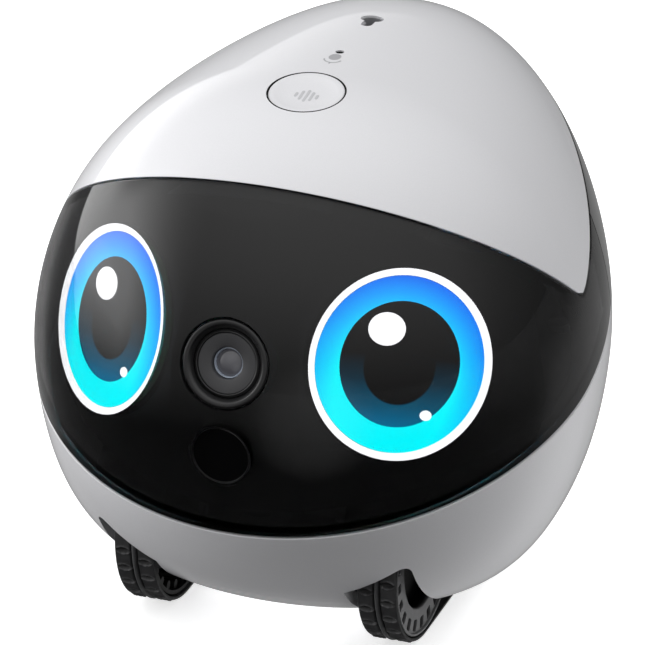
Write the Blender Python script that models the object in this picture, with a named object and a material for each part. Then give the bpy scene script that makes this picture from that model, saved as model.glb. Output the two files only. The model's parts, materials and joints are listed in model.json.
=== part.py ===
"""Ball-shaped companion robot on two crawler tracks, as separate functional pieces.

Frame: the robot faces -Y, its left side is +X and +Z is up. The origin is on the floor, under the
middle of the body's outer box. Sizes below are in millimetres and are turned into metres by MM.
"""
import bmesh
import bpy
import math
from mathutils import Matrix, Vector

for old in list(bpy.data.objects):
    bpy.data.objects.remove(old, do_unlink=True)

MM = 0.001
GAP = 0.3                       # clearance between pieces that would otherwise touch

# ---- body skin: four superellipse quadrants in side view, one half-width curve in front view
TOP_Z, WIDE_Z, BOTTOM_Z = 89.9, 43.0, 2.7
TOP_Y, WIDE_Y, BOTTOM_Y = -3.7, -6.5, -13.3
FRONT_Y, REAR_Y = -52.3, 52.3
HALF_WIDTH = 46.8
FRONT_UP, FRONT_DOWN = 2.19, 2.12       # exponents that a quadrant reaches at its pole
SIDE_UP, SIDE_DOWN = 2.17, 3.14
REAR_UP, REAR_DOWN = 4.2, 4.1
REAR_PLAN = 2.3                         # exponent of the rear half of a horizontal section
WALL = 2.0                              # thickness of the white shells
VISOR_WALL = 1.6
CARRIER_INSET, CARRIER_WALL = 4.2, 1.2

# ---- seams, as lines in side view
CAP_TIP = (-5.0, 56.6)                  # where the cap's front and rear edges would meet
CAP_FRONT_SLOPE, CAP_REAR_SLOPE = -0.875, 0.44
CAP_TIP_ROUND = 3.0
SEAM_FRONT_Y, SEAM_FRONT_Z = -49.6, 27.9        # lowest point of the lower seam
SEAM_SLOPE, SEAM_BOW, SEAM_RUNOUT_Y = 0.372, 0.00227, -14.0
SEAM_KNEE_Y = -26.5
BAND_SPLIT_Y = 12.0                     # the visor ends here and the rear band begins

# ---- face
EYE_CENTRE = (24.6, -36.2, 55.7)
EYE_TURN, EYE_TILT = math.radians(38.9), math.radians(16.9)
EYE_R, IRIS_R = 15.3, 14.05
CAMERA_CENTRE, CAMERA_TILT, CAMERA_R = (0.0, -49.4, 57.7), math.radians(17.7), 7.15
CAMERA_BOARD = 14.0
SENSOR_CENTRE, SENSOR_R = (0.0, -51.8, 42.7), 4.95

# ---- top
BUTTON_CENTRE, BUTTON_TILT, BUTTON_R = (0.0, -12.1, 89.0), math.radians(81.5), 6.2
MIC_Y, SOCKET_Y = 3.6, 19.4
SOCKET_WIDE, SOCKET_DEEP, NECK_HALF, NECK_REACH = 2.35, 1.5, 1.05, 3.9
SOCKET_BASE, SOCKET_DROP = 10.0, 3.4      # square plate under the cap, and its depth below the skin

# ---- back
POWER_Z, POWER_TILT, POWER_R = 69.0, math.radians(10.0), 3.2
PORT_Z, PORT_WIDE, PORT_HIGH = 62.0, 9.0, 3.2
CONTACT_X, CONTACT_Y, CONTACT_R = 5.0, 30.0, 1.5

# ---- inside
DECK_LOW, DECK_THICK, POST_R, SCREW_R = 36.0, 2.0, 3.0, 1.0
SCREWS = {"front_left": (33.0, -12.0), "front_right": (-33.0, -12.0),
          "rear_left": (33.0, 20.0), "rear_right": (-33.0, 20.0)}

# ---- running gear
WHEEL_Z, BELT_R, BELT_THICK = 16.1, 16.1, 0.9
FRONT_WHEEL_Y, REAR_WHEEL_Y = -21.3, 13.7
TRACK_OUT_X, TRACK_IN_X = 24.3, 17.6
WHEEL_R = BELT_R - BELT_THICK - GAP
HUB_RECESS_R = 10.3
RIM_SLOTS, RIM_SLOT_R, RIM_SLOT_LONG, RIM_SLOT_WIDE = 24, 13.0, 1.5, 1.5
AXLE_R, RUNNING = 1.0, 0.1         # RUNNING is the clearance of an axle in its bore
WELL_R, WELL_IN_X, WELL_OUT_X, WELL_WALL = 17.8, 16.1, 27.0, 0.8

X, Y, Z = Vector((1, 0, 0)), Vector((0, 1, 0)), Vector((0, 0, 1))


# ------------------------------------------------------------------ materials
def material(name, colour, roughness, metallic=0.0):
    found = bpy.data.materials.get(name)
    if found:
        return found
    made = bpy.data.materials.new(name)
    made.use_nodes = True
    shader = made.node_tree.nodes["Principled BSDF"]
    shader.inputs["Base Color"].default_value = (*colour, 1.0)
    shader.inputs["Roughness"].default_value = roughness
    shader.inputs["Metallic"].default_value = metallic
    return made


WHITE = ("satin_white", (0.78, 0.78, 0.80), 0.35)
GLOSS_BLACK = ("gloss_black", (0.01, 0.01, 0.012), 0.05)
BLACK = ("black_plastic", (0.02, 0.02, 0.022), 0.5)
RUBBER = ("black_rubber", (0.03, 0.03, 0.032), 0.75)
RING_WHITE = ("ring_white", (0.9, 0.92, 0.95), 0.3)
DISPLAY = ("eye_display", (0.05, 0.45, 0.95), 0.3)
CLEAR = ("clear_glass", (0.3, 0.33, 0.36), 0.03)
STEEL = ("steel", (0.6, 0.6, 0.62), 0.3, 1.0)
BRASS = ("gold_contact", (0.8, 0.6, 0.25), 0.3, 1.0)
BOARD = ("circuit_board", (0.03, 0.18, 0.08), 0.6)
CELL = ("battery_wrap", (0.15, 0.2, 0.5), 0.5)


# ------------------------------------------------------------------ mesh helpers
def make(name, bm):
    """A scene object from a bmesh in millimetres."""
    bmesh.ops.recalc_face_normals(bm, faces=bm.faces)
    mesh = bpy.data.meshes.new(name)
    bm.to_mesh(mesh)
    bm.free()
    obj = bpy.data.objects.new(name, mesh)
    bpy.context.scene.collection.objects.link(obj)
    return obj


def ring_stack(name, rings, flat=True):
    """A solid from rings of equal length; an end ring of one point is a pole.

    Quads that aren't flat are split into triangles, so that a Boolean cuts them cleanly.
    """
    bm = bmesh.new()
    rows = [[bm.verts.new(p) for p in ring] for ring in rings]
    for low, high in zip(rows, rows[1:]):
        count = max(len(low), len(high))
        for k in range(count):
            n = (k + 1) % count
            corners = [low[k % len(low)], low[n % len(low)], high[n % len(high)], high[k % len(high)]]
            unique = [v for i, v in enumerate(corners) if v not in corners[:i]]
            bm.faces.new(unique)
    for row in (rows[0], rows[-1]):
        if len(row) > 2:
            bm.faces.new(row)
    if not flat:
        bmesh.ops.triangulate(bm, faces=bm.faces)
    return make(name, bm)


def prism(name, outline, x_low, x_high):
    """An outline of (y, z) points, pushed along X."""
    return ring_stack(name, [[(x, y, z) for y, z in outline] for x in (x_low, x_high)])


def box(name, x, y, z):
    return prism(name, [(y[0], z[0]), (y[1], z[0]), (y[1], z[1]), (y[0], z[1])], *x)


def along(axis):
    """A rotation that turns +Z onto axis."""
    return Z.rotation_difference(Vector(axis)).to_matrix().to_4x4()


def turned(name, profile, centre, axis, sides=32):
    """A solid turned about axis through centre, from (radius, height) points, low end to high end."""
    rings = []
    for radius, height in profile:
        count = sides if radius > 0 else 1
        angles = [2 * math.pi * k / sides for k in range(count)]
        rings.append([(radius * math.cos(a), radius * math.sin(a), height) for a in angles])
    obj = ring_stack(name, rings)
    obj.data.transform(Matrix.Translation(centre) @ along(axis))
    return obj


def rod(name, centre, axis, radius, low, high, sides=32):
    return turned(name, [(radius, low), (radius, high)], centre, axis, sides)


def washer(name, centre, axis, outer, inner, low, high, sides=32):
    """A flat ring, turned as one closed loop."""
    bm = bmesh.new()
    corners = [(outer, low), (outer, high), (inner, high), (inner, low)]
    rows = []
    for radius, height in corners:
        angles = [2 * math.pi * k / sides for k in range(sides)]
        rows.append([bm.verts.new((radius * math.cos(a), radius * math.sin(a), height)) for a in angles])
    for row, following in zip(rows, rows[1:] + rows[:1]):
        for k in range(sides):
            n = (k + 1) % sides
            bm.faces.new((row[k], row[n], following[n], following[k]))
    obj = make(name, bm)
    obj.data.transform(Matrix.Translation(centre) @ along(axis))
    return obj


def combine(target, tools, operation):
    """Applies a Boolean of each tool to target, then removes the tools."""
    for tool in tools:
        modifier = target.modifiers.new("combine", "BOOLEAN")
        modifier.operation = operation
        modifier.solver = "EXACT"
        modifier.object = tool
        bpy.context.view_layer.update()
        shown = target.evaluated_get(bpy.context.evaluated_depsgraph_get())
        result = bpy.data.meshes.new_from_object(shown)
        target.modifiers.clear()
        target.data = result
        bpy.data.objects.remove(tool, do_unlink=True)
    return target


def cut(target, *tools):
    return combine(target, tools, "DIFFERENCE")


def keep(target, *tools):
    return combine(target, tools, "INTERSECT")


def join(target, *tools):
    return combine(target, tools, "UNION")


def drop_flaps(mesh):
    """Deletes the specks and the loose pairs of triangles, back to back, that a Boolean can leave."""
    bm = bmesh.new()
    bm.from_mesh(mesh)
    bmesh.ops.remove_doubles(bm, verts=bm.verts, dist=0.0001)
    bmesh.ops.dissolve_degenerate(bm, edges=bm.edges, dist=0.0001)
    unseen = set(bm.faces)
    while unseen:
        island = [unseen.pop()]
        for face in island:
            for edge in face.edges:
                fresh = [near for near in edge.link_faces if near in unseen]
                unseen.difference_update(fresh)
                island.extend(fresh)
        if len(island) < 4:
            bmesh.ops.delete(bm, geom=island, context="FACES")
    bm.to_mesh(mesh)
    bm.free()


def finish(obj, name, look, origin=(0.0, 0.0, 0.0)):
    """Names a piece, turns it into metres with its origin at a point, and gives it its material."""
    drop_flaps(obj.data)
    obj.name = name
    obj.data.name = name
    obj.data.transform(Matrix.Translation(-Vector(origin)))
    obj.data.transform(Matrix.Scale(MM, 4))
    obj.location = Vector(origin) * MM
    obj.data.materials.clear()
    obj.data.materials.append(material(*look))
    obj.data.shade_smooth()
    obj.data.set_sharp_from_angle(angle=math.radians(32))
    return obj


# ------------------------------------------------------------------ body skin
def quadrant(t, exponent, blend=True):
    """Distance from the axis at height share t: round at the equator, exponent at the pole."""
    power = 2 + (exponent - 2) * t if blend else exponent
    return max(1 - t ** power, 0.0) ** (1 / power)


def section(z, inset):
    """Front y, rear y, widest y and half-width of the skin at height z, moved in by inset."""
    up = z > WIDE_Z
    pole = TOP_Z - inset if up else BOTTOM_Z + inset
    t = min(abs(z - WIDE_Z) / abs(pole - WIDE_Z), 1.0)
    end_y = TOP_Y if up else BOTTOM_Y
    front = end_y + (FRONT_Y + inset - end_y) * quadrant(t, FRONT_UP if up else FRONT_DOWN)
    rear = end_y + (REAR_Y - inset - end_y) * quadrant(t, REAR_UP if up else REAR_DOWN, blend=False)
    half = (HALF_WIDTH - inset) * quadrant(t, SIDE_UP if up else SIDE_DOWN)
    widest = end_y + (WIDE_Y - end_y) * math.sqrt(1 - t * t)
    return front, rear, widest, half


def skin_ring(z, inset, sides):
    front, rear, widest, half = section(z, inset)
    ring = []
    for k in range(sides):
        angle = 2 * math.pi * k / sides
        side, back = math.sin(angle), -math.cos(angle)
        power = 2 + (REAR_PLAN - 2) * back * back if back > 0 else 2.0
        scale = (abs(side) ** power + abs(back) ** power) ** (-1 / power)
        reach = rear - widest if back > 0 else widest - front
        ring.append((half * side * scale, widest + reach * back * scale, z))
    return ring


def skin(name, inset, sides=40, up_rings=11, down_rings=9):
    """The whole closed body, moved in by inset."""
    rings = [[(0.0, BOTTOM_Y, BOTTOM_Z + inset)]]
    for k in range(down_rings - 1, 0, -1):
        t = math.sin(math.pi / 2 * k / down_rings) ** 0.8
        rings.append(skin_ring(WIDE_Z - t * (WIDE_Z - BOTTOM_Z - inset), inset, sides))
    for k in range(up_rings):
        t = math.sin(math.pi / 2 * k / up_rings) ** 0.8
        rings.append(skin_ring(WIDE_Z + t * (TOP_Z - inset - WIDE_Z), inset, sides))
    rings.append([(0.0, TOP_Y, TOP_Z - inset)])
    return ring_stack(name, rings, flat=False)


def skin_height(y, inset=0.0):
    """Height of the skin's top on the middle plane at y."""
    low, high = WIDE_Z, TOP_Z - inset
    for _ in range(40):
        z = (low + high) / 2
        front, rear, _widest, _half = section(z, inset)
        if front < y < rear:
            low = z
        else:
            high = z
    return low


# ------------------------------------------------------------------ seams
def cap_edge(shift):
    """The cap's lower edge in side view, front to rear, moved down by shift."""
    tip_y, tip_z = CAP_TIP
    turn = CAP_TIP_ROUND
    points = [(-90.0, tip_z + CAP_FRONT_SLOPE * (-90.0 - tip_y) - shift)]
    corner = Vector((tip_y, tip_z - shift))
    ahead = Vector((-1.0, -CAP_FRONT_SLOPE)).normalized()
    behind = Vector((1.0, CAP_REAR_SLOPE)).normalized()
    for k in range(7):
        s = k / 6
        start, end = corner + ahead * turn, corner + behind * turn
        point = start * (1 - s) ** 2 + corner * 2 * s * (1 - s) + end * s ** 2
        points.append((point.x, point.y))
    points.append((90.0, tip_z + CAP_REAR_SLOPE * (90.0 - tip_y) - shift))
    return points


def lower_seam(y):
    """Height of the seam above the lower shell: a shallow bow that runs out into a straight line."""
    bent = min(y, SEAM_RUNOUT_Y)
    z = SEAM_FRONT_Z + SEAM_SLOPE * (bent - SEAM_FRONT_Y)
    z -= SEAM_BOW * (bent - SEAM_FRONT_Y) * (bent - SEAM_KNEE_Y)
    slope = SEAM_SLOPE - SEAM_BOW * (2 * SEAM_RUNOUT_Y - SEAM_FRONT_Y - SEAM_KNEE_Y)
    return z + slope * max(y - SEAM_RUNOUT_Y, 0.0)


def seam_points(shift):
    stations = [-70, -60, -50, -42, -34, -26, -20, -14, 70]
    return [(y, lower_seam(y) + shift) for y in stations]


def band_outline(shift_in):
    """Side view of the black band between the two seams."""
    upper = cap_edge(shift_in)
    lower = seam_points(shift_in)
    return lower + [(90.0, lower_seam(90.0) + shift_in)] + upper[::-1] + [(-90.0, lower[0][1])]


# ------------------------------------------------------------------ shells
EYES = {"left": 1, "right": -1}


def eye_frame(side):
    """Centre and outward normal of an eye's flat display."""
    centre = Vector((side * EYE_CENTRE[0], EYE_CENTRE[1], EYE_CENTRE[2]))
    flat = math.cos(EYE_TILT)
    normal = Vector((side * math.sin(EYE_TURN) * flat, -math.cos(EYE_TURN) * flat, math.sin(EYE_TILT)))
    return centre, normal


def face_normal(tilt):
    return Vector((0.0, -math.cos(tilt), math.sin(tilt)))


POWER_AXIS = Vector((0.0, math.cos(POWER_TILT), math.sin(POWER_TILT)))
CAMERA_AXIS = face_normal(CAMERA_TILT)
SENSOR_AXIS = face_normal(0.0)
BUTTON_AXIS = face_normal(BUTTON_TILT)


def stadium(radius, steps=14):
    """Side view of the track's outline at a radius about its two wheel centres."""
    points = []
    for k in range(steps + 1):
        a = math.pi / 2 + math.pi * k / steps
        points.append((FRONT_WHEEL_Y + radius * math.cos(a), WHEEL_Z + radius * math.sin(a)))
    for k in range(steps + 1):
        a = -math.pi / 2 + math.pi * k / steps
        points.append((REAR_WHEEL_Y + radius * math.cos(a), WHEEL_Z + radius * math.sin(a)))
    return points


def slot_outline(radius, steps=10):
    """The track's outline with its sides run straight down, as the shell's slot is cut."""
    points = [(FRONT_WHEEL_Y - radius, -20.0)]
    for k in range(steps + 1):
        a = math.pi - math.pi / 2 * k / steps
        points.append((FRONT_WHEEL_Y + radius * math.cos(a), WHEEL_Z + radius * math.sin(a)))
    for k in range(steps + 1):
        a = math.pi / 2 - math.pi / 2 * k / steps
        points.append((REAR_WHEEL_Y + radius * math.cos(a), WHEEL_Z + radius * math.sin(a)))
    return points + [(REAR_WHEEL_Y + radius, -20.0)]


def spread(side, near, far):
    """An x range given for the left side, on either side."""
    return (near, far) if side > 0 else (-far, -near)


def keyhole(name, grow, low, high):
    """A keyhole prism: a wide oval head with a narrower neck in front of it."""
    head = turned(name, [(1.0, low), (1.0, high)], (0, SOCKET_Y, 0), Z, 24)
    head.data.transform(Matrix.Translation((0, SOCKET_Y, 0)) @ Matrix.Diagonal(
        (SOCKET_WIDE + grow, SOCKET_DEEP + grow, 1.0, 1.0)) @ Matrix.Translation((0, -SOCKET_Y, 0)))
    half = NECK_HALF + grow
    neck = box("neck", (-half, half), (SOCKET_Y - NECK_REACH - grow, SOCKET_Y), (low, high))
    return join(head, neck)


def build_cap():
    edge = cap_edge(0.0)
    region = prism("region", edge + [(90.0, 140.0), (-90.0, 140.0)], -60, 60)
    cap = keep(skin("cap", 0.0), region)
    cut(cap, skin("hollow", WALL, 32, 8, 7))
    cut(cap, rod("hole", BUTTON_CENTRE, BUTTON_AXIS, BUTTON_R + 0.35, -10, 5, 40))
    mic = rod("mic", (0, MIC_Y, 0), Z, 0.7, 80, 95, 12)
    cut(cap, mic, keyhole("socket", 0.0, 80, 95))
    return finish(cap, "cap_shell", WHITE)


def face_holes(extra):
    holes = [rod("camera", CAMERA_CENTRE, CAMERA_AXIS, CAMERA_R + extra, -12, 6, 40)]
    holes.append(rod("sensor", SENSOR_CENTRE, SENSOR_AXIS, SENSOR_R + extra, -12, 6, 32))
    return holes


def build_band():
    """The smoked front visor and the plain rear band, which meet at the robot's flanks."""
    for name, low, high in (("visor", -90.0, BAND_SPLIT_Y), ("rear_band", BAND_SPLIT_Y + GAP, 90.0)):
        piece = keep(skin(name, 0.0), prism("region", band_outline(GAP), -60, 60))
        keep(piece, box("half", (-60, 60), (low, high), (-20, 140)))
        cut(piece, skin("hollow", VISOR_WALL, 32, 8, 7))
        if name == "visor":
            cut(piece, *face_holes(GAP))
        else:
            cut(piece, rod("power", power_centre(), POWER_AXIS, POWER_R + GAP, -8, 8, 28))
            wide, high = PORT_WIDE / 2 + GAP, PORT_HIGH / 2 + GAP
            cut(piece, box("port", (-wide, wide), (40, 60), (PORT_Z - high, PORT_Z + high)))
        finish(piece, name, GLOSS_BLACK)


def build_lower():
    outline = seam_points(0.0)
    region = prism("region", outline + [(70.0, -20.0), (-70.0, -20.0)], -60, 60)
    shell = keep(skin("lower", 0.0), region)
    cut(shell, skin("hollow", WALL, 32, 8, 7))
    for side in EYES.values():
        cut(shell, prism("slot", slot_outline(WELL_R), *spread(side, WELL_IN_X, WELL_OUT_X)))
        cut(shell, rod("pin", (side * CONTACT_X, CONTACT_Y, 0), Z, CONTACT_R + GAP, -5, 12, 20))
    for x, y in SCREWS.values():
        post = rod("post", (x, y, 0), Z, POST_R, -5, DECK_LOW - GAP, 20)
        keep(post, skin("wall", WALL / 2, 32, 8, 7))
        join(shell, post)
        cut(shell, rod("pilot", (x, y, DECK_LOW), Z, SCREW_R + GAP, -8, 1, 16))
    return finish(shell, "lower_shell", WHITE)


def build_carrier():
    """The matt black dish behind the visor that holds the eyes and the camera."""
    inset = CARRIER_INSET
    dish = keep(skin("carrier", inset, 24, 7, 6), prism("region", band_outline(1.5), -60, 60))
    keep(dish, box("half", (-60, 60), (-90, -14.0), (-20, 140)))
    cut(dish, skin("hollow", inset + CARRIER_WALL, 24, 7, 6))
    for side in EYES.values():
        centre, normal = eye_frame(side)
        cut(dish, rod("eye", centre, normal, EYE_R + GAP, -12, 12, 48))
    cut(dish, *face_holes(0.3))
    return finish(dish, "face_carrier", BLACK)


# ------------------------------------------------------------------ face pieces
def build_eye(label, side):
    centre, normal = eye_frame(side)
    ring = washer("ring", centre, normal, EYE_R, IRIS_R + 0.1, -0.9, 0.35)
    finish(ring, f"eye_ring_{label}", RING_WHITE)
    display = rod("display", centre, normal, IRIS_R - 0.2, -0.8, 0.0, 48)
    finish(display, f"eye_display_{label}", DISPLAY)
    board = rod("board", centre, normal, EYE_R - 1.0, -2.4, -1.2, 32)
    finish(board, f"eye_led_board_{label}", BOARD)


def build_camera():
    place = dict(centre=CAMERA_CENTRE, axis=CAMERA_AXIS)
    r = CAMERA_R
    finish(washer("bezel", outer=r, inner=5.6, low=-4.5, high=0.0, **place), "camera_bezel", GLOSS_BLACK)
    finish(washer("inner", outer=5.3, inner=4.7, low=-3.0, high=-0.1, **place), "camera_inner_ring", BLACK)
    plate = washer("plate", outer=4.4, inner=2.6, low=-2.0, high=-0.5, **place)
    finish(plate, "camera_baffle", BLACK)
    lens_profile = [(2.3, -2.2), (2.3, -0.9), (1.7, -0.65), (0.9, -0.5), (0.0, -0.45)]
    finish(turned("lens", lens_profile, CAMERA_CENTRE, CAMERA_AXIS, 32), "camera_lens", CLEAR)
    barrel_profile = [(5.3, -8.5), (5.3, -5.0), (3.0, -5.0), (3.0, -3.2)]
    barrel = turned("barrel", barrel_profile, CAMERA_CENTRE, CAMERA_AXIS, 32)
    finish(barrel, "camera_barrel", BLACK)
    half = CAMERA_BOARD / 2
    board = box("board", (-half, half), (-half, half), (-10.0, -8.9))
    board.data.transform(Matrix.Translation(CAMERA_CENTRE) @ along(CAMERA_AXIS))
    finish(board, "camera_board", BOARD)


def build_sensor():
    window = rod("window", SENSOR_CENTRE, SENSOR_AXIS, SENSOR_R, -1.2, -0.25, 32)
    finish(window, "sensor_window", GLOSS_BLACK)
    sensor = box("sensor", (-2.0, 2.0), (SENSOR_CENTRE[1] + 1.7, SENSOR_CENTRE[1] + 3.9), (40.7, 44.7))
    finish(sensor, "distance_sensor", BLACK)
    board = box("board", (-5.0, 5.0), (SENSOR_CENTRE[1] + 7.2, SENSOR_CENTRE[1] + 8.2), (38.0, 47.0))
    finish(board, "sensor_board", BOARD)


# ------------------------------------------------------------------ top pieces
def build_button():
    profile = [(2.0, -3.4), (2.0, -1.6), (BUTTON_R, -1.6), (BUTTON_R, -0.15), (BUTTON_R - 0.3, 0.1),
               (BUTTON_R - 1.5, 0.05), (0.0, -0.1)]
    button = turned("button", profile, BUTTON_CENTRE, BUTTON_AXIS, 32)
    finish(button, "top_button", WHITE, BUTTON_CENTRE)
    profile = [(2.6, -7.0), (2.6, -5.2), (1.4, -5.2), (1.4, -4.5)]
    switch = turned("switch", profile, BUTTON_CENTRE, BUTTON_AXIS, 20)
    finish(switch, "button_switch", BLACK)
    board = box("board", (-9.0, 9.0), (-9.0, 19.0), (-8.6, -7.4))
    board.data.transform(Matrix.Translation(BUTTON_CENTRE) @ along(BUTTON_AXIS))
    finish(board, "top_board", BOARD)


def build_top_inserts():
    mic_top = skin_height(MIC_Y) - 1.0
    finish(rod("mic", (0, MIC_Y, 0), Z, 0.4, mic_top - 3.0, mic_top, 12), "microphone", BLACK)
    floor = skin_height(SOCKET_Y) - SOCKET_DROP
    half = SOCKET_BASE / 2
    socket = box("socket", (-half, half), (SOCKET_Y - half, SOCKET_Y + half), (floor - 2.2, floor))
    join(socket, keyhole("step", -GAP, floor - 0.5, floor + 0.5))
    finish(socket, "accessory_socket", BLACK)


# ------------------------------------------------------------------ running gear
def build_wheel(name, label, side, centre_y, drive):
    """A dished wheel: slotted outer disc, deep hub recess, open inner side with spokes."""
    width = TRACK_OUT_X - TRACK_IN_X
    centre = (side * TRACK_IN_X, centre_y, WHEEL_Z)
    axis = X * side
    rim = washer("rim", centre, axis, WHEEL_R, WHEEL_R - 1.2, 0.3, width, 32)
    disc = rod("disc", centre, axis, WHEEL_R - 0.6, width - 1.4, width - 0.3, 32)
    hub = rod("hub", centre, axis, 3.2, 0.3, width - 1.0, 20)
    wheel = join(rim, disc)
    recess = rod("recess", centre, axis, HUB_RECESS_R, width - 3.4, width + 1, 24)
    floor = rod("floor", centre, axis, HUB_RECESS_R + 0.9, width - 4.2, width - 0.8, 24)
    join(wheel, floor)
    cut(wheel, recess)
    join(wheel, hub)
    slots = bmesh.new()
    for k in range(RIM_SLOTS):
        turn = Matrix.Rotation(2 * math.pi * (k + 0.5) / RIM_SLOTS, 4, "Z")
        size = Matrix.Diagonal((RIM_SLOT_LONG, RIM_SLOT_WIDE, 4.0, 1.0))
        place = turn @ Matrix.Translation((RIM_SLOT_R, 0, width)) @ size
        bmesh.ops.create_cube(slots, size=1.0, matrix=place)
    cutter = make("slots", slots)
    cutter.data.transform(Matrix.Translation(centre) @ along(axis))
    cut(wheel, cutter)
    cut(wheel, rod("bore", centre, axis, AXLE_R + RUNNING, -1, width + 1, 20))
    finish(wheel, f"{name}_wheel_{label}", BLACK, centre)
    low, head, thick = (-6.0, 2.2, 0.9) if drive else (-3.4, 1.9, 0.7)
    profile = [(AXLE_R, low), (AXLE_R, width - thick), (head, width - thick), (head, width - 0.2)]
    finish(turned("axle", profile, centre, axis, 20), f"{name}_axle_{label}", STEEL, centre)


def build_track(label, side):
    belt = prism("belt", stadium(BELT_R, 24), *spread(side, TRACK_IN_X, TRACK_OUT_X))
    through = spread(side, TRACK_IN_X - 1, TRACK_OUT_X + 1)
    cut(belt, prism("inside", stadium(BELT_R - BELT_THICK, 24), *through))
    finish(belt, f"track_belt_{label}", RUBBER)
    build_wheel("front", label, side, FRONT_WHEEL_Y, False)
    build_wheel("rear", label, side, REAR_WHEEL_Y, True)
    depth = spread(side, WELL_IN_X - WELL_WALL, WELL_OUT_X + WELL_WALL)
    outer = prism("well", stadium(WELL_R + WELL_WALL), *depth)
    keep(outer, skin("inside", WALL + GAP))
    cut(outer, prism("space", slot_outline(WELL_R), *spread(side, WELL_IN_X, WELL_OUT_X)))
    centre = (side * TRACK_IN_X, REAR_WHEEL_Y, WHEEL_Z)
    cut(outer, rod("drive", centre, X * side, AXLE_R + GAP, -6, 0, 20))
    centre = (side * TRACK_IN_X, FRONT_WHEEL_Y, WHEEL_Z)
    cut(outer, rod("idler", centre, X * side, AXLE_R + GAP, -6, 0, 20))
    finish(outer, f"track_well_{label}", BLACK)


def build_motor(label, side):
    """A right-angle gear motor: gearbox block round the drive axle, motor can running forward."""
    block = box("block", spread(side, 4.0, 14.4), (REAR_WHEEL_Y - 7.0, REAR_WHEEL_Y + 7.0), (9.5, 22.7))
    can = rod("can", (side * 9.2, REAR_WHEEL_Y, WHEEL_Z), -Y, 5.0, 6.0, 26.0, 24)
    join(block, can)
    cut(block, rod("bore", (side * TRACK_IN_X, REAR_WHEEL_Y, WHEEL_Z), X * side, AXLE_R + GAP, -7.5, 0, 20))
    finish(block, f"gear_motor_{label}", STEEL)


# ------------------------------------------------------------------ inside
def build_inside():
    """Deck, battery, boards, speaker and ballast, which the shells hide."""
    clear = CARRIER_INSET + CARRIER_WALL + GAP
    level = box("level", (-60, 60), (-60, 60), (DECK_LOW, DECK_LOW + DECK_THICK))
    deck = keep(skin("deck", clear, 24, 7, 6), level)
    for x, y in SCREWS.values():
        cut(deck, rod("hole", (x, y, DECK_LOW), Z, SCREW_R + GAP, -1, DECK_THICK + 1, 16))
    finish(deck, "chassis_deck", BLACK)
    finish(box("cell", (-14.0, 14.0), (-26.0, 28.0), (24.0, 34.5)), "battery", CELL)
    finish(box("board", (-26.0, 26.0), (-22.0, 34.0), (42.0, 43.2)), "main_board", BOARD)
    finish(box("shield", (-9.0, 9.0), (-8.0, 10.0), (43.5, 45.5)), "processor_shield", STEEL)
    speaker = turned("speaker", [(5.0, 0.0), (5.0, 3.5), (8.5, 3.5), (8.5, 6.0)], (0, 24.0, 46.0), Z, 24)
    finish(speaker, "speaker", BLACK)
    finish(box("weight", (-3.4, 3.4), (-24.0, -8.0), (7.0, 11.0)), "ballast_weight", STEEL)


def rear_skin(z):
    return section(z, 0.0)[1]


def power_centre():
    return Vector((0.0, rear_skin(POWER_Z), POWER_Z))


def contact_z():
    """Height of the lower skin's underside where the charging contacts come through."""
    low, high = BOTTOM_Z, WIDE_Z
    for _ in range(40):
        z = (low + high) / 2
        if rear_skin(z) > CONTACT_Y:
            high = z
        else:
            low = z
    return high


def build_rear():
    centre = power_centre()
    profile = [(1.3, -4.0), (1.3, -2.0), (POWER_R, -2.0), (POWER_R, -0.4), (POWER_R - 0.4, -0.1)]
    finish(turned("power", profile, centre, POWER_AXIS, 28), "power_button", GLOSS_BLACK, centre)
    profile = [(2.4, -8.0), (2.4, -5.6), (1.1, -5.6), (1.1, -4.9)]
    finish(turned("switch", profile, centre, POWER_AXIS, 20), "power_switch", BLACK)
    y, wide, high = rear_skin(PORT_Z), PORT_WIDE / 2, PORT_HIGH / 2
    port = box("port", (-wide, wide), (y - 8.0, y - 0.6), (PORT_Z - high, PORT_Z + high))
    rim = 0.5
    opening = (PORT_Z + rim - high, PORT_Z + high - rim)
    mouth = box("mouth", (rim - wide, wide - rim), (y - 7.0, y + 2.0), opening)
    finish(cut(port, mouth), "charge_port", STEEL)
    for label, side in EYES.items():
        low = contact_z()
        pin = rod("pin", (side * CONTACT_X, CONTACT_Y, 0), Z, CONTACT_R, low, low + 4.0, 20)
        finish(pin, f"charge_contact_{label}", BRASS)


def build_screws():
    """Screws that hold the deck down on the lower shell's posts."""
    for label, (x, y) in SCREWS.items():
        top = DECK_LOW + DECK_THICK + GAP
        profile = [(SCREW_R, -7.0), (SCREW_R, 0.0), (1.9, 0.0), (1.9, 1.2)]
        finish(turned("screw", profile, (x, y, top), Z, 16), f"deck_screw_{label}", STEEL)


build_cap()
build_band()
build_lower()
build_carrier()
for eye_label, eye_side in EYES.items():
    build_eye(eye_label, eye_side)
    build_track(eye_label, eye_side)
    build_motor(eye_label, eye_side)
build_camera()
build_sensor()
build_button()
build_top_inserts()
build_inside()
build_rear()
build_screws()
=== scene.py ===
import json
import math

import bmesh
import bpy
import numpy as np
from mathutils import Matrix, Vector


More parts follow.
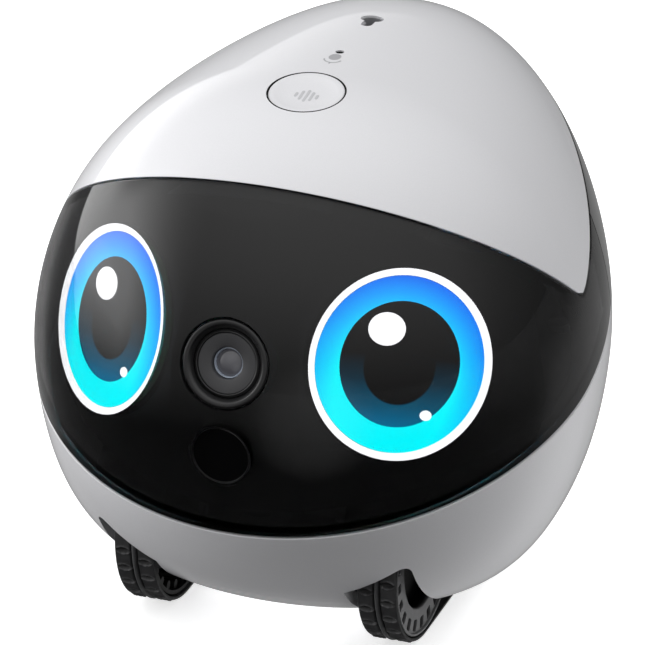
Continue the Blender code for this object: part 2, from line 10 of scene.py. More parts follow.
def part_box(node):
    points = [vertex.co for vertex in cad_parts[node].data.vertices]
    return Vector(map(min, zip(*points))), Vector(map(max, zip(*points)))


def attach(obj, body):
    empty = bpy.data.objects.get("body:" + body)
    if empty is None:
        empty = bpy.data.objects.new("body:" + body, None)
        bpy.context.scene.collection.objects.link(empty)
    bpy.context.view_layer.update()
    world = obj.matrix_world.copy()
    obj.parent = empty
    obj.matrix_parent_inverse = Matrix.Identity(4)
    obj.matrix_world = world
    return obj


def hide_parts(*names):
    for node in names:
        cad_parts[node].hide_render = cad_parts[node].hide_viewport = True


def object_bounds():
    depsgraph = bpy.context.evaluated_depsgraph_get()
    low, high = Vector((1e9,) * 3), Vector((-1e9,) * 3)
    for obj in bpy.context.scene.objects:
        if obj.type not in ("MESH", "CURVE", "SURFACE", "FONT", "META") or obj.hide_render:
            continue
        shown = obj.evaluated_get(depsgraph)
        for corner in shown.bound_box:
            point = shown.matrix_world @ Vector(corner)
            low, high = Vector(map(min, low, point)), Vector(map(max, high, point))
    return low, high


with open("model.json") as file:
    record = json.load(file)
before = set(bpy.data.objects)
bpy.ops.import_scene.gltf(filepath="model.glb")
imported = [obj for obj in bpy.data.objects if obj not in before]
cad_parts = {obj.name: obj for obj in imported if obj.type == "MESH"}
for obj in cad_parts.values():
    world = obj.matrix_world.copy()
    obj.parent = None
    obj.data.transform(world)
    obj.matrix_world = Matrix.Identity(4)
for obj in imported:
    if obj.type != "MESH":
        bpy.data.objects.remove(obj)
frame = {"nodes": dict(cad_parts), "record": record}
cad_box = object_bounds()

# Lengths in this script are in millimetres in the frame of the CAD model, and leave it in metres.
MM = 0.001
GAP = 0.3  # play between two shells
FIT = 0.15  # play round a part in its opening
HALVINGS = 40  # steps of a search by halving


def corners(node):
    """Lowest and highest corner of a CAD node, in millimetres."""
    low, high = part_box(node)
    return np.array(low) / MM, np.array(high) / MM


def middle(node):
    low, high = corners(node)
    return (low + high) / 2


def joint(name):
    for entry in frame["record"]["behaviour"]["joints"]:
        if entry["name"] == name:
            return entry
    raise KeyError(name)


# ---- the body's skin
# The shells follow one ball skin. At each height it is an oval with a front, rear and widest y, and these
# run to the poles as superellipses, whose exponents are given upwards and downwards.
CAD_HIGH = np.array(cad_box[1]) / MM
TOP_Z, WIDE_Z = corners("cap_shell")[1][2], 43.0
BOTTOM_Z = corners("lower_shell")[0][2]
HALF_WIDTH = CAD_HIGH[0]
REAR_Y, FRONT_Y = CAD_HIGH[1], -52.3
TOP_Y, WIDE_Y, BOTTOM_Y = -3.7, -6.5, -13.3
FRONT_UP, FRONT_DOWN = 2.19, 2.12
SIDE_UP, SIDE_DOWN = 2.17, 3.14
REAR_UP, REAR_DOWN = 4.2, 4.1
REAR_PLAN = 2.3  # exponent of the oval's rear half, seen from above
WALL, VISOR_WALL = 2.0, 1.6
ROUND = 0.3  # radius of the shells' rims

# Edge lines in side view: the cap's is two slopes that meet in a rounded tip (y, z), and the lower
# seam bows between its front and its knee, and runs on straight behind the run-out.
CAP_TIP = (-5.0, 56.6)
CAP_FRONT_SLOPE, CAP_REAR_SLOPE, CAP_TIP_ROUND = -0.875, 0.44, 1.6
SEAM_FRONT_Y, SEAM_FRONT_Z = -49.6, 27.9
SEAM_SLOPE, SEAM_BOW, SEAM_KNEE_Y, SEAM_RUNOUT_Y = 0.372, 0.00227, -26.5, -14.0
BAND_SPLIT_Y = corners("visor")[1][1]


def quadrant(t, exponent, blend=True):
    power = 2 + (exponent - 2) * t if blend else exponent
    return np.maximum(1 - t ** power, 0.0) ** (1 / power)


def section(z, inset):
    """Front, rear and widest y and half-width of the skin at heights z, moved in by inset."""
    up = z > WIDE_Z
    pole = np.where(up, TOP_Z - inset, BOTTOM_Z + inset)
    t = np.clip(np.abs(z - WIDE_Z) / np.abs(pole - WIDE_Z), 0.0, 1.0)
    end_y = np.where(up, TOP_Y, BOTTOM_Y)
    front = end_y + (FRONT_Y + inset - end_y) * quadrant(t, np.where(up, FRONT_UP, FRONT_DOWN))
    rear = end_y + (REAR_Y - inset - end_y) * quadrant(t, np.where(up, REAR_UP, REAR_DOWN), blend=False)
    half = (HALF_WIDTH - inset) * quadrant(t, np.where(up, SIDE_UP, SIDE_DOWN))
    widest = end_y + (WIDE_Y - end_y) * np.sqrt(1 - t * t)
    return front, rear, widest, half


def skin(angle, z, inset):
    """Points of the skin: angle 0 is the front, and it grows towards the robot's left."""
    angle, z, inset = np.broadcast_arrays(angle, z, inset)
    front, rear, widest, half = section(z, inset)
    side, back = np.sin(angle), -np.cos(angle)
    power = np.where(back > 0, 2 + (REAR_PLAN - 2) * back * back, 2.0)
    scale = (np.abs(side) ** power + np.abs(back) ** power) ** (-1 / power)
    reach = np.where(back > 0, rear - widest, widest - front)
    return np.stack([half * side * scale, widest + reach * back * scale, z], axis=-1)


def skin_level(points):
    """How far out each point is, as a share of the skin's own radius at its height."""
    x, y, z = points[..., 0], points[..., 1], np.clip(points[..., 2], BOTTOM_Z + 1e-4, TOP_Z - 1e-4)
    front, rear, widest, half = section(z, 0.0)
    reach = np.where(y > widest, rear - widest, widest - front)
    u, v = np.abs(x) / np.maximum(half, 1e-6), np.abs(y - widest) / np.maximum(reach, 1e-6)
    share = v * v / np.maximum(u * u + v * v, 1e-12)
    power = np.where(y > widest, 2 + (REAR_PLAN - 2) * share, 2.0)
    return (u ** power + v ** power) ** (1 / power)


def skin_normals(points):
    step = 0.02  # millimetres either way
    slopes = []
    for axis in range(3):
        shift = np.zeros(3)
        shift[axis] = step
        slopes.append(skin_level(points + shift) - skin_level(points - shift))
    normals = np.stack(slopes, axis=-1)
    return normals / np.maximum(np.linalg.norm(normals, axis=-1, keepdims=True), 1e-9)


def cap_edge(y, drop=0.0):
    ahead = CAP_TIP[1] + CAP_FRONT_SLOPE * (y - CAP_TIP[0])
    behind = CAP_TIP[1] + CAP_REAR_SLOPE * (y - CAP_TIP[0])
    return (ahead + behind + np.sqrt((ahead - behind) ** 2 + CAP_TIP_ROUND ** 2)) / 2 - drop


def lower_seam(y, lift=0.0):
    bent = np.minimum(y, SEAM_RUNOUT_Y)
    z = SEAM_FRONT_Z + SEAM_SLOPE * (bent - SEAM_FRONT_Y)
    z = z - SEAM_BOW * (bent - SEAM_FRONT_Y) * (bent - SEAM_KNEE_Y)
    slope = SEAM_SLOPE - SEAM_BOW * (2 * SEAM_RUNOUT_Y - SEAM_FRONT_Y - SEAM_KNEE_Y)
    return z + slope * np.maximum(y - SEAM_RUNOUT_Y, 0.0) + lift


def turning_point(low, high, past, like):
    """The place between low and high where past turns true, for an array of places at once."""
    low, high = np.full_like(like, low), np.full_like(like, high)
    for _ in range(HALVINGS):
        place = (low + high) / 2
        over = past(place)
        high, low = np.where(over, place, high), np.where(over, low, place)
    return (low + high) / 2


def edge_height(angle, edge, shift):
    """Height where the skin at each angle meets an edge line given in side view."""
    above = lambda z: z > edge(skin(angle, z, 0.0)[..., 1], shift)
    return turning_point(BOTTOM_Z + 0.5, TOP_Z - 0.5, above, angle)


# ---- mesh helpers
def show(name, data):
    obj = bpy.data.objects.new(name, data)
    bpy.context.scene.collection.objects.link(obj)
    return obj


def new_object(name, vertices, faces):
    mesh = bpy.data.meshes.new(name)
    mesh.from_pydata([tuple(v) for v in np.asarray(vertices, float)], [], faces)
    mesh.update()
    return show(name, mesh)


def lofted(name, rings, close_ends=True, wrap=False):
    """A mesh over rings of points; a ring of one point is a pole, and wrap joins the last to the first."""
    vertices, starts, sizes = [], [], []
    for ring in rings:
        starts.append(len(vertices))
        sizes.append(len(ring))
        vertices.extend(ring)
    faces = []
    pairs = list(zip(range(len(rings) - 1), range(1, len(rings))))
    if wrap:
        pairs.append((len(rings) - 1, 0))
    for a, b in pairs:
        count = max(sizes[a], sizes[b])
        for k in range(count):
            n = (k + 1) % count
            quad = [starts[a] + k % sizes[a], starts[a] + n % sizes[a],
                    starts[b] + n % sizes[b], starts[b] + k % sizes[b]]
            faces.append([v for i, v in enumerate(quad) if v not in quad[:i]])
    if close_ends and not wrap:
        for a in (0, len(rings) - 1):
            if sizes[a] > 2:
                faces.append(list(range(starts[a], starts[a] + sizes[a])))
    return outward(new_object(name, vertices, faces))


def outward(obj):
    bm = bmesh.new()
    bm.from_mesh(obj.data)
    bmesh.ops.recalc_face_normals(bm, faces=bm.faces)
    bm.to_mesh(obj.data)
    bm.free()
    return obj


def along(axis):
    return Vector((0, 0, 1)).rotation_difference(Vector(axis)).to_matrix().to_4x4()


def seat(obj, centre, axis):
    obj.data.transform(Matrix.Translation(Vector(centre)) @ along(axis))
    return obj


def turned(name, profile, centre=(0, 0, 0), axis=(0, 0, 1), sides=96, hollow=False):
    """A solid turned about an axis, from (radius, height) points; hollow closes the profile on itself."""
    angles = 2 * np.pi * np.arange(sides) / sides
    rings = []
    for radius, height in profile:
        if radius > 1e-6:
            rings.append([(radius * math.cos(a), radius * math.sin(a), height) for a in angles])
        else:
            rings.append([(0.0, 0.0, height)])
    return seat(lofted(name, rings, wrap=hollow), centre, axis)


def arc(centre, radius, start, end, steps=6):
    """Points on an arc, angles in degrees; an oval's radius is a pair."""
    across, up = radius if isinstance(radius, tuple) else (radius, radius)
    out = []
    for k in range(steps + 1):
        a = math.radians(start + (end - start) * k / steps)
        out.append((centre[0] + across * math.cos(a), centre[1] + up * math.sin(a)))
    return out


def block(name, low, high):
    """A plain box, for cutting only."""
    vertices = [(x, y, z) for z in (low[2], high[2]) for y in (low[1], high[1]) for x in (low[0], high[0])]
    faces = [(0, 2, 3, 1), (4, 5, 7, 6), (0, 1, 5, 4), (2, 6, 7, 3), (0, 4, 6, 2), (1, 3, 7, 5)]
    return new_object(name, vertices, faces)


def prism(name, outline, low, high, axis="x"):
    """An outline pushed along X (points y, z) or along Z (points x, y)."""
    rings = []
    for level in (low, high):
        rings.append([(level, a, b) if axis == "x" else (a, b, level) for a, b in outline])
    return lofted(name, rings)


def combine(target, tools, operation):
    for tool in tools:
        modifier = target.modifiers.new("combine", "BOOLEAN")
        modifier.operation = operation
        modifier.solver = "EXACT"
        modifier.object = tool
        bpy.context.view_layer.update()
        shown = target.evaluated_get(bpy.context.evaluated_depsgraph_get())
        result = bpy.data.meshes.new_from_object(shown)
        target.modifiers.clear()
        target.data = result
        bpy.data.objects.remove(tool, do_unlink=True)
    return target


def cut(target, *tools):
    return combine(target, tools, "DIFFERENCE")


def join(target, *tools):
    return combine(target, tools, "UNION")


MERGE_CLOSER = 0.0005
SPECK_FACES = 6


def drop_flaps(mesh):
    """Deletes loose specks that a Boolean can leave behind."""
    bm = bmesh.new()
    bm.from_mesh(mesh)
    bmesh.ops.remove_doubles(bm, verts=bm.verts, dist=MERGE_CLOSER)
    bmesh.ops.dissolve_degenerate(bm, edges=bm.edges, dist=MERGE_CLOSER)
    unseen = set(bm.faces)
    while unseen:
        island = [unseen.pop()]
        for face in island:
            for edge in face.edges:
                fresh = [near for near in edge.link_faces if near in unseen]
                unseen.difference_update(fresh)
                island.extend(fresh)
        if len(island) < SPECK_FACES:
            bmesh.ops.delete(bm, geom=island, context="FACES")
    bm.to_mesh(mesh)
    bm.free()


def hang(obj, name, material, matrix, node, body="body", sharp=35.0):
    """Finishes a piece modelled in a frame of its own, which it keeps for its texture."""
    drop_flaps(obj.data)
    obj.data.transform(Matrix.Scale(MM, 4))
    place = matrix.copy()
    place.translation = matrix.translation * MM
    obj.matrix_world = place
    bpy.context.view_layer.update()
    obj.name = name
    obj.data.name = name
    obj.data.materials.clear()
    obj.data.materials.append(material)
    obj.data.shade_smooth()
    obj.data.set_sharp_from_angle(angle=math.radians(sharp))
    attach(obj, body)
    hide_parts(node)


def finish(obj, name, material, node, body="body", origin=(0.0, 0.0, 0.0), sharp=35.0):
    """Like hang, for a piece modelled in the robot's frame; its texture starts from its origin."""
    place = Matrix.Translation(Vector(origin))
    obj.data.transform(place.inverted())
    hang(obj, name, material, place, node, body, sharp)


ON_SKIN, SAME_FACING = 2e-3, 0.985  # how near the skin a loop lies, and how well its face follows it


def smooth_skin(obj):
    """Gives the loops that lie on the body's skin the skin's own normals, so gloss stays even."""
    mesh = obj.data

    def column(items, field, width, kind=np.float32):
        values = np.zeros(len(items) * width, kind)
        items.foreach_get(field, values)
        return values.reshape(-1, width).astype(float) if width > 1 else values

    normals = column(mesh.corner_normals, "vector", 3)
    vertex = column(mesh.loops, "vertex_index", 1, np.int32)
    points = column(mesh.vertices, "co", 3) / MM
    totals = column(mesh.polygons, "loop_total", 1, np.int32)
    flat = np.repeat(column(mesh.polygons, "normal", 3), totals, axis=0)
    level = np.abs(skin_level(points) - 1.0)[vertex]
    analytic = skin_normals(points)[vertex]
    use = (level < ON_SKIN) & (np.einsum("ij,ij->i", flat, analytic) > SAME_FACING)
    normals[use] = analytic[use]
    mesh.normals_split_custom_set([tuple(n) for n in normals])


# ---- materials
NOISE_ROUGH = 0.55
GRAIN = 0.25  # grain of moulded plastic
BRUSHED = (1.0, 1.0, 0.1)  # stretches noise into fine lines


def linear(colour):
    """An 8-bit screen colour as linear red, green and blue."""
    out = []
    for part in colour:
        share = part / 255
        out.append(share / 12.92 if share <= 0.04045 else ((share + 0.055) / 1.055) ** 2.4)
    return (*out, 1.0)


def tint(colour, factor):
    return (*(min(part * factor, 1.0) for part in colour[:3]), 1.0)


class Paint:
    """A node material under construction, with a Principled shader at its end."""

    def __init__(self, name):
        self.material = bpy.data.materials.new(name)
        self.start(self.material, "Principled BSDF", "Object")

    def start(self, owner, shader, place):
        owner.use_nodes = True
        self.nodes = owner.node_tree.nodes
        self.links = owner.node_tree.links
        self.shader = self.nodes[shader]
        self.place = self.node("ShaderNodeTexCoord", {})[place]

    def node(self, kind, inputs, **settings):
        """A new node, with each input set to a value or linked to another node's output."""
        made = self.nodes.new(kind)
        for key, value in settings.items():
            setattr(made, key, value)
        for key, value in inputs.items():
            if isinstance(value, bpy.types.NodeSocket):
                self.links.new(value, made.inputs[key])
            else:
                made.inputs[key].default_value = value
        return made.outputs

    def feed(self, socket, source):
        self.links.new(source, self.shader.inputs[socket])

    def set(self, **values):
        for key, value in values.items():
            self.shader.inputs[key.replace("_", " ")].default_value = value

    def xyz(self):
        return self.node("ShaderNodeSeparateXYZ", {0: self.place})

    def noise(self, size, detail=3.0, stretch=None):
        """Noise whose grains are about size millimetres across."""
        place = self.place
        if stretch:
            place = self.node("ShaderNodeMapping", {"Vector": place, "Scale": stretch})["Vector"]
        inputs = {"Vector": place, "Scale": 1 / (size * MM), "Detail": detail, "Roughness": NOISE_ROUGH}
        return self.node("ShaderNodeTexNoise", inputs)["Fac"]

    def ramp(self, fac, stops):
        colour = self.node("ShaderNodeValToRGB", {"Fac": fac})["Color"]
        elements = colour.node.color_ramp.elements
        while len(elements) < len(stops):
            elements.new(0.5)
        for element, (position, tone) in zip(elements, stops):
            element.position, element.color = position, tone
        return colour

    def spread(self, fac, low, high, low_in=0.3, high_in=0.7):
        inputs = {"Value": fac, "From Min": low_in, "From Max": high_in, "To Min": low, "To Max": high}
        return self.node("ShaderNodeMapRange", inputs)["Result"]

    def math(self, kind, first, second=0.0, clamp=False):
        return self.node("ShaderNodeMath", {0: first, 1: second}, operation=kind, use_clamp=clamp)[0]

    def product(self, first, *others):
        for other in others:
            first = self.math("MULTIPLY", first, other)
        return first

    def total(self, first, *others):
        for other in others:
            first = self.math("ADD", first, other)
        return first

    def distance(self, a, b):
        """Length of the vector (a, b)."""
        return self.math("SQRT", self.total(self.product(a, a), self.product(b, b)))

    def stain(self, size, amount, detail=3.0):
        """Noise to either side of nought, which breaks up an even ramp."""
        return self.product(self.math("SUBTRACT", self.noise(size, detail), 0.5), amount)

    def drift(self, base, low, high, size, detail, edges=(0.3, 0.7)):
        """A colour that wanders between two tints of its base."""
        tints = (tint(base, low), tint(base, high))
        return self.ramp(self.noise(size, detail), list(zip(edges, tints)))

    def colour(self, source):
        self.feed("Base Color", source)

    def rough(self, low, high, *noise):
        """Roughness that wanders between two values."""
        self.feed("Roughness", self.spread(self.noise(*noise), low, high))

    def bump(self, strength, depth, *noise):
        """Bumps about depth millimetres high."""
        inputs = {"Strength": strength, "Distance": depth * MM, "Height": self.noise(*noise)}
        self.feed("Normal", self.node("ShaderNodeBump", inputs)["Normal"])

    def glow(self, source, strength, base):
        """Light given out by a display, over its own unlit colour."""
        self.feed("Emission Color", source)
        self.set(Base_Color=base, Emission_Strength=strength)


def surface(name, tone, rough, bump, **sockets):
    """A plain surface: tone, rough and bump are what Paint's drift, rough and bump are given."""
    paint = Paint(name)
    paint.colour(paint.drift(*tone))
    paint.rough(*rough)
    paint.bump(*bump)
    paint.set(**sockets)
    return paint.material


def moulded(name, colour, rough, bump=0.004, coat=0.0, **extra):
    """Moulded plastic: fine grain in its gloss and height, and a slow drift in its colour."""
    return surface(name, (linear(colour), 0.96, 1.04, 9.0, 2.0), (rough * 0.9, rough * 1.1, GRAIN * 4),
                   (0.5, bump, GRAIN, 2.0), Coat_Weight=coat, Coat_Roughness=0.02, **extra)


def metal(name, colour, rough):
    return surface(name, (linear(colour), 0.9, 1.05, 1.5, 3.0),
                   (rough * 0.8, rough * 1.25, 0.3, 3.0, BRUSHED),
                   (0.4, 0.002, 0.15, 2.0, BRUSHED), Metallic=1.0)


def smoked_paint():
    """Polished smoked plastic: what lies close behind it shows, and the dark inside looks black."""
    paint = Paint("smoked_visor")
    paint.colour(paint.drift((0.05, 0.05, 0.051, 1.0), 0.97, 1.02, 14.0, 1.0))
    paint.set(Transmission_Weight=1.0, IOR=1.04, Roughness=0.0)
    paint.set(Coat_Weight=1.0, Coat_Roughness=0.0, Coat_IOR=1.5)
    return paint.material


def rubber_paint():
    """Track rubber, with painted shade darkest in the tread's pockets and a painted highlight on its lips."""
    paint = Paint("track_rubber")
    base = linear((58, 58, 59))
    _x, y, z = paint.xyz()
    half_run, middle_y = (REAR_WHEEL_Y - FRONT_WHEEL_Y) / 2, (REAR_WHEEL_Y + FRONT_WHEEL_Y) / 2
    beside = paint.math("ABSOLUTE", paint.math("SUBTRACT", y, middle_y * MM))
    beyond = paint.math("MAXIMUM", paint.math("SUBTRACT", beside, half_run * MM), 0.0)
    reach = paint.distance(beyond, paint.math("SUBTRACT", z, WHEEL_Z * MM))
    # painted shade and highlight: the colour darkens with depth into the pockets and lightens on the raised
    # lips, with a little random tone from the noise
    height = paint.spread(reach, 0.0, 1.0, (BELT_FACE - POCKET_DEEP) * MM, (BELT_FACE + LIP_HIGH) * MM)
    shade_and_highlight = paint.math("ADD", height, paint.stain(1.6, 0.3, 4.0), clamp=True)
    paint.colour(paint.ramp(shade_and_highlight, [(0.1, tint(base, 0.25)), (0.6, base), (0.95, tint(base, 2.2))]))
    paint.rough(0.42, 0.62, 0.8)
    paint.bump(0.7, 0.02, 0.22, 4.0)
    return paint.material


HOLLOW_Z, HOLLOW_FADE = 5.35, 0.9  # painted shade: a wheel is darkest this far from its inner side, and below


def wheel_paint():
    """Satin black of the wheels, with painted shade that makes them darkest in their hollows."""
    paint = Paint("wheel_black")
    # painted shade: the colour darkens in the hollows towards the inner side, with a little random tone from
    # the noise
    height = paint.spread(paint.xyz()[2], 0.0, 0.9, HOLLOW_Z * MM, (HOLLOW_Z + HOLLOW_FADE) * MM)
    shade = paint.math("ADD", height, paint.stain(6.0, 0.12), clamp=True)
    stops = [(0.0, (14, 14, 14)), (0.35, (40, 40, 41)), (0.9, (106, 106, 107))]
    paint.colour(paint.ramp(shade, [(where, linear(colour)) for where, colour in stops]))
    paint.rough(0.38, 0.46, 1.0)
    paint.bump(0.5, 0.012, 0.25, 2.0)
    paint.set(Specular_IOR_Level=0.25)
    return paint.material


DISPLAY_GAIN = 23.0  # makes up for what the visor takes away
VISOR_GLARE = 0.024  # what the visor's own reflection adds over an eye
EYE_R, IRIS_R, PUPIL_R = 15.3, 14.15, 10.06
DISPLAY_DROP = 0.35  # an iris lies this far below its ring's outer edge
GRADIENT_AXIS = math.radians(80.0)  # an iris is darkest this way round from its own +X
IRIS_GAIN = 0.95 * DISPLAY_GAIN
# An iris's level at the pupil, and how much it falls from there to the rim: both change with the turn
# from the gradient's axis, and the level picks a colour from the stops (level, screen colour).
LEVEL_START, LEVEL_TURN = 0.91, 0.176
FALL_START, FALL_TURN, FALL_MOST = 0.235, 0.16, 0.295
IRIS_STOPS = [(0.40, (28, 100, 238)), (0.53, (40, 137, 247)), (0.63, (42, 161, 252)), (0.75, (36, 190, 255)),
              (0.85, (30, 216, 255)), (0.96, (18, 250, 255))]
INNER_PUPIL_R, INNER_PUPIL_DROP, INNER_PUPIL_BLUR = 6.0, 0.45, 0.12
CRESCENT_TOP = 1.2  # the pupil's teal crescent fades out at this height
PUPIL_STOPS = [(0.0, (43, 42, 42)), (0.35, (40, 58, 68)), (0.7, (40, 84, 106)), (1.0, (38, 108, 144))]


def lit(stops):
    """Stops of what a display gives out, to look like these colours under the visor's glare."""
    shown = []
    for where, colour in stops:
        shown.append((where, (*(max(part - VISOR_GLARE, 0.0) for part in linear(colour)[:3]), 1.0)))
    return shown


def iris_paint():
    """The lit iris: royal blue at its upper rim, cyan below, computed from the place on the disc."""
    paint = Paint("iris_blue")
    x, y, _z = paint.xyz()
    radius = paint.distance(x, y)
    upward = paint.total(paint.product(x, math.cos(GRADIENT_AXIS)), paint.product(y, math.sin(GRADIENT_AXIS)))
    turn = paint.math("DIVIDE", upward, radius)
    share = paint.math("DIVIDE", paint.math("SUBTRACT", radius, PUPIL_R * MM), (IRIS_R - PUPIL_R) * MM)
    fall = paint.math("MINIMUM", paint.total(paint.product(turn, FALL_TURN), FALL_START), FALL_MOST)
    level = paint.math("SUBTRACT", LEVEL_START, paint.product(turn, LEVEL_TURN))
    level = paint.math("SUBTRACT", level, paint.product(share, fall), clamp=True)
    paint.glow(paint.ramp(level, lit(IRIS_STOPS)), IRIS_GAIN, (0.0, 0.01, 0.02, 1.0))
    paint.rough(0.35, 0.45, 0.4)
    return paint.material


def pupil_paint():
    """The pupil: dark grey, with a teal crescent low down, outside a darker inner disc."""
    paint = Paint("pupil_grey")
    x, y, _z = paint.xyz()
    radius = paint.distance(x, paint.total(y, INNER_PUPIL_DROP * MM))
    edges = [(INNER_PUPIL_R + side * INNER_PUPIL_BLUR) * MM for side in (-1, 1)]
    outside = paint.spread(radius, 0.0, 1.0, *edges)
    low = paint.spread(y, 1.0, 0.0, -PUPIL_R * MM, CRESCENT_TOP * MM)
    glow = paint.ramp(paint.product(outside, low), lit(PUPIL_STOPS))
    paint.glow(glow, DISPLAY_GAIN, (0.004, 0.004, 0.004, 1.0))
    paint.rough(0.35, 0.45, 0.4)
    return paint.material


def glow_paint(name):
    """The plain white light of a display."""
    paint = Paint(name)
    glow = paint.drift(linear((255, 255, 255)), 0.985, 1.0, 2.5, 1.0)
    paint.glow(glow, DISPLAY_GAIN, (0.6, 0.62, 0.65, 1.0))
    paint.rough(0.3, 0.4, 0.4)
    return paint.material


# Satin white plastic with a very fine pearl grain under a clear coat
WHITE = surface("satin_white", (linear((229, 229, 232)), 0.985, 1.01, 0.18, 1.0, (0.35, 0.65)),
                (0.36, 0.44, 0.5, 2.0), (0.4, 0.0012, 0.12, 1.0),
                Coat_Weight=0.9, Coat_Roughness=0.02, Specular_IOR_Level=0.4)
SMOKED = smoked_paint()
GLOSS = moulded("gloss_black", (12, 12, 13), 0.08, bump=0.0006, coat=1.0)
BLACK = moulded("moulded_black", (38, 38, 39), 0.45, bump=0.012)
WHEEL = wheel_paint()
DARK = moulded("matt_black", (9, 9, 9), 0.75, bump=0.01, Specular_IOR_Level=0.15)
BEZEL = moulded("bezel_black", (30, 30, 31), 0.3, bump=0.004, coat=0.3)
GREY_PRINT = moulded("grey_print", (190, 190, 193), 0.5, bump=0.002)
MIC_PRINT = moulded("mic_print", (165, 165, 168), 0.5, bump=0.002)
SOCKET = moulded("socket_grey", (140, 140, 143), 0.4, bump=0.01)
LENS_PLATE = moulded("lens_plate", (66, 66, 68), 0.4, bump=0.002, coat=0.15)
LENS_RIM = moulded("lens_rim", (178, 188, 204), 0.25, bump=0.002, coat=0.6)
LENS = moulded("lens_coating", (104, 104, 110), 0.12, bump=0.001, coat=1.0)
STEEL = metal("plain_steel", (190, 190, 194), 0.3)
GOLD = metal("gold_plate", (226, 190, 110), 0.28)
BOARD = surface("solder_mask", (linear((20, 92, 48)), 0.7, 1.0, 0.9, 1.0, (0.48, 0.52)), (0.3, 0.5, 0.5),
                (0.5, 0.03, 0.9, 1.0))
WRAP = moulded("battery_wrap", (60, 78, 150), 0.4, bump=0.01)
IRIS = iris_paint()
PUPIL = pupil_paint()
RING = glow_paint("ring_white")
CATCH = glow_paint("catch_light")


# ---- shells
COLUMNS, SHELL_ROWS, RIM_STEPS = 200, 64, 4
FINE_STEPS = 240  # points along a column when its length is measured
SETTLINGS = 6  # rounds in which a panel's rows and its upright edges settle
SPLIT_LOW, SPLIT_HIGH = 1.2, 2.6  # angles between which the split lies


def rise_to_pole(up, inset):
    return np.where(up, TOP_Z - inset - WIDE_Z, WIDE_Z - BOTTOM_Z - inset)


def theta_of(z, inset):
    """Angle above the widest height, from -90 degrees at the bottom pole to 90 at the top."""
    return np.arcsin(np.clip((z - WIDE_Z) / rise_to_pole(z >= WIDE_Z, inset), -1.0, 1.0))


def z_of(theta, inset):
    return WIDE_Z + np.sin(theta) * rise_to_pole(theta >= 0, inset)


def rows_to_pole(angle, z_edge, pole, count, inset):
    """Rows of skin points from an edge to a pole, evenly spaced along each column, pole left out."""
    start = theta_of(z_edge, inset)
    warp = 1 - (1 - np.linspace(0, 1, FINE_STEPS)[:, None]) ** 3
    theta = start + (pole - start) * warp
    points = skin(angle, z_of(theta, inset), inset)
    steps = np.linalg.norm(np.diff(points, axis=0), axis=-1)
    length = np.concatenate([np.zeros((1, len(angle))), np.cumsum(steps, axis=0)])
    shares = np.linspace(0, 1, count + 1)[:-1]
    rows = np.empty((count, len(angle)))
    for k in range(len(angle)):
        rows[:, k] = np.interp(shares * length[-1, k], length[:, k], theta[:, k])
    return list(skin(angle, z_of(rows, inset), inset))


def dome(name, edge, pole_up):
    """A shell between an edge line and the top or bottom pole, with a rounded rim."""
    angle = 2 * np.pi * np.arange(COLUMNS) / COLUMNS
    rim = edge_height(angle, edge, 0.0)
    pole = np.pi / 2 if pole_up else -np.pi / 2
    sign = 1 if pole_up else -1
    outer = rows_to_pole(angle, rim + sign * ROUND, pole, SHELL_ROWS, 0.0)
    fillet = []
    for k in range(1, RIM_STEPS + 1):
        a = math.radians(90 * k / RIM_STEPS)
        fillet.append(skin(angle, rim + sign * ROUND * (1 - math.sin(a)), ROUND * (1 - math.cos(a))))
    inner = rows_to_pole(angle, rim, pole, SHELL_ROWS // 2, WALL)
    tip = np.array([[0.0, TOP_Y if pole_up else BOTTOM_Y, TOP_Z if pole_up else BOTTOM_Z]])
    inner_tip = tip - np.array([[0.0, 0.0, sign * WALL]])
    return lofted(name, [tip] + outer[::-1] + fillet + inner + [inner_tip])


def split_angle(z):
    """Angle at which the skin at height z reaches the plane between visor and rear band."""
    behind = lambda angle: skin(angle, z, 0.0)[..., 1] > BAND_SPLIT_Y
    return turning_point(SPLIT_LOW, SPLIT_HIGH, behind, z)


def band(name, front, columns, rows):
    """A panel of the black band: the visor in front of the split, or the rear piece behind it."""
    turn = np.radians(90 - 90 * np.arange(RIM_STEPS) / RIM_STEPS)
    rise, depth, level = ROUND * np.sin(turn), ROUND * (1 - np.cos(turn)), np.zeros(rows)
    share = np.concatenate([0 * turn, np.linspace(0, 1, rows), 0 * turn + 1])[:, None]
    offset = np.concatenate([-rise, level, rise[::-1]])[:, None]
    inset = np.concatenate([depth, level, depth[::-1]])[:, None]
    across = np.linspace(-1, 1, columns)[None, :]
    angle = across * (2.0 if front else 1.0) + np.zeros_like(share)
    if not front:
        angle = np.pi + angle
    for _ in range(SETTLINGS):
        low = edge_height(angle, lower_seam, GAP)
        high = edge_height(angle, cap_edge, GAP)
        z = low + ROUND + share * (high - low - 2 * ROUND) + offset
        if front:
            angle = across * split_angle(z)
        else:
            angle = np.pi + across * (np.pi - split_angle(z) - GAP / HALF_WIDTH)
    outer = skin(angle, z, inset)
    inner = skin(angle, z, VISOR_WALL)
    count, wide = z.shape
    vertices = np.concatenate([outer.reshape(-1, 3), inner.reshape(-1, 3)])
    back = count * wide
    faces = []
    for r in range(count - 1):
        for c in range(wide - 1):
            a = r * wide + c
            faces.append((a, a + 1, a + wide + 1, a + wide))
            faces.append((back + a, back + a + wide, back + a + wide + 1, back + a + 1))
        for c in (0, wide - 1):
            a = r * wide + c
            faces.append((a, a + wide, back + a + wide, back + a))
    for r in (0, count - 1):
        for c in range(wide - 1):
            a = r * wide + c
            faces.append((a, a + 1, back + a + 1, back + a))
    return outward(new_object(name, vertices, faces))


HOLE_DEEP, HOLE_PROUD = 12.0, 6.0  # how far a cutter reaches either way from the skin


def hole(centre, axis, radius, sides=96, chamfer=0.22, dip=0.5):
    """A cutter for a round hole with a small chamfer where it meets the curved skin."""
    profile = [(radius, -HOLE_DEEP), (radius, -dip - chamfer), (radius + chamfer, -dip),
               (radius + chamfer, HOLE_PROUD)]
    return turned("hole", profile, centre, axis, sides)


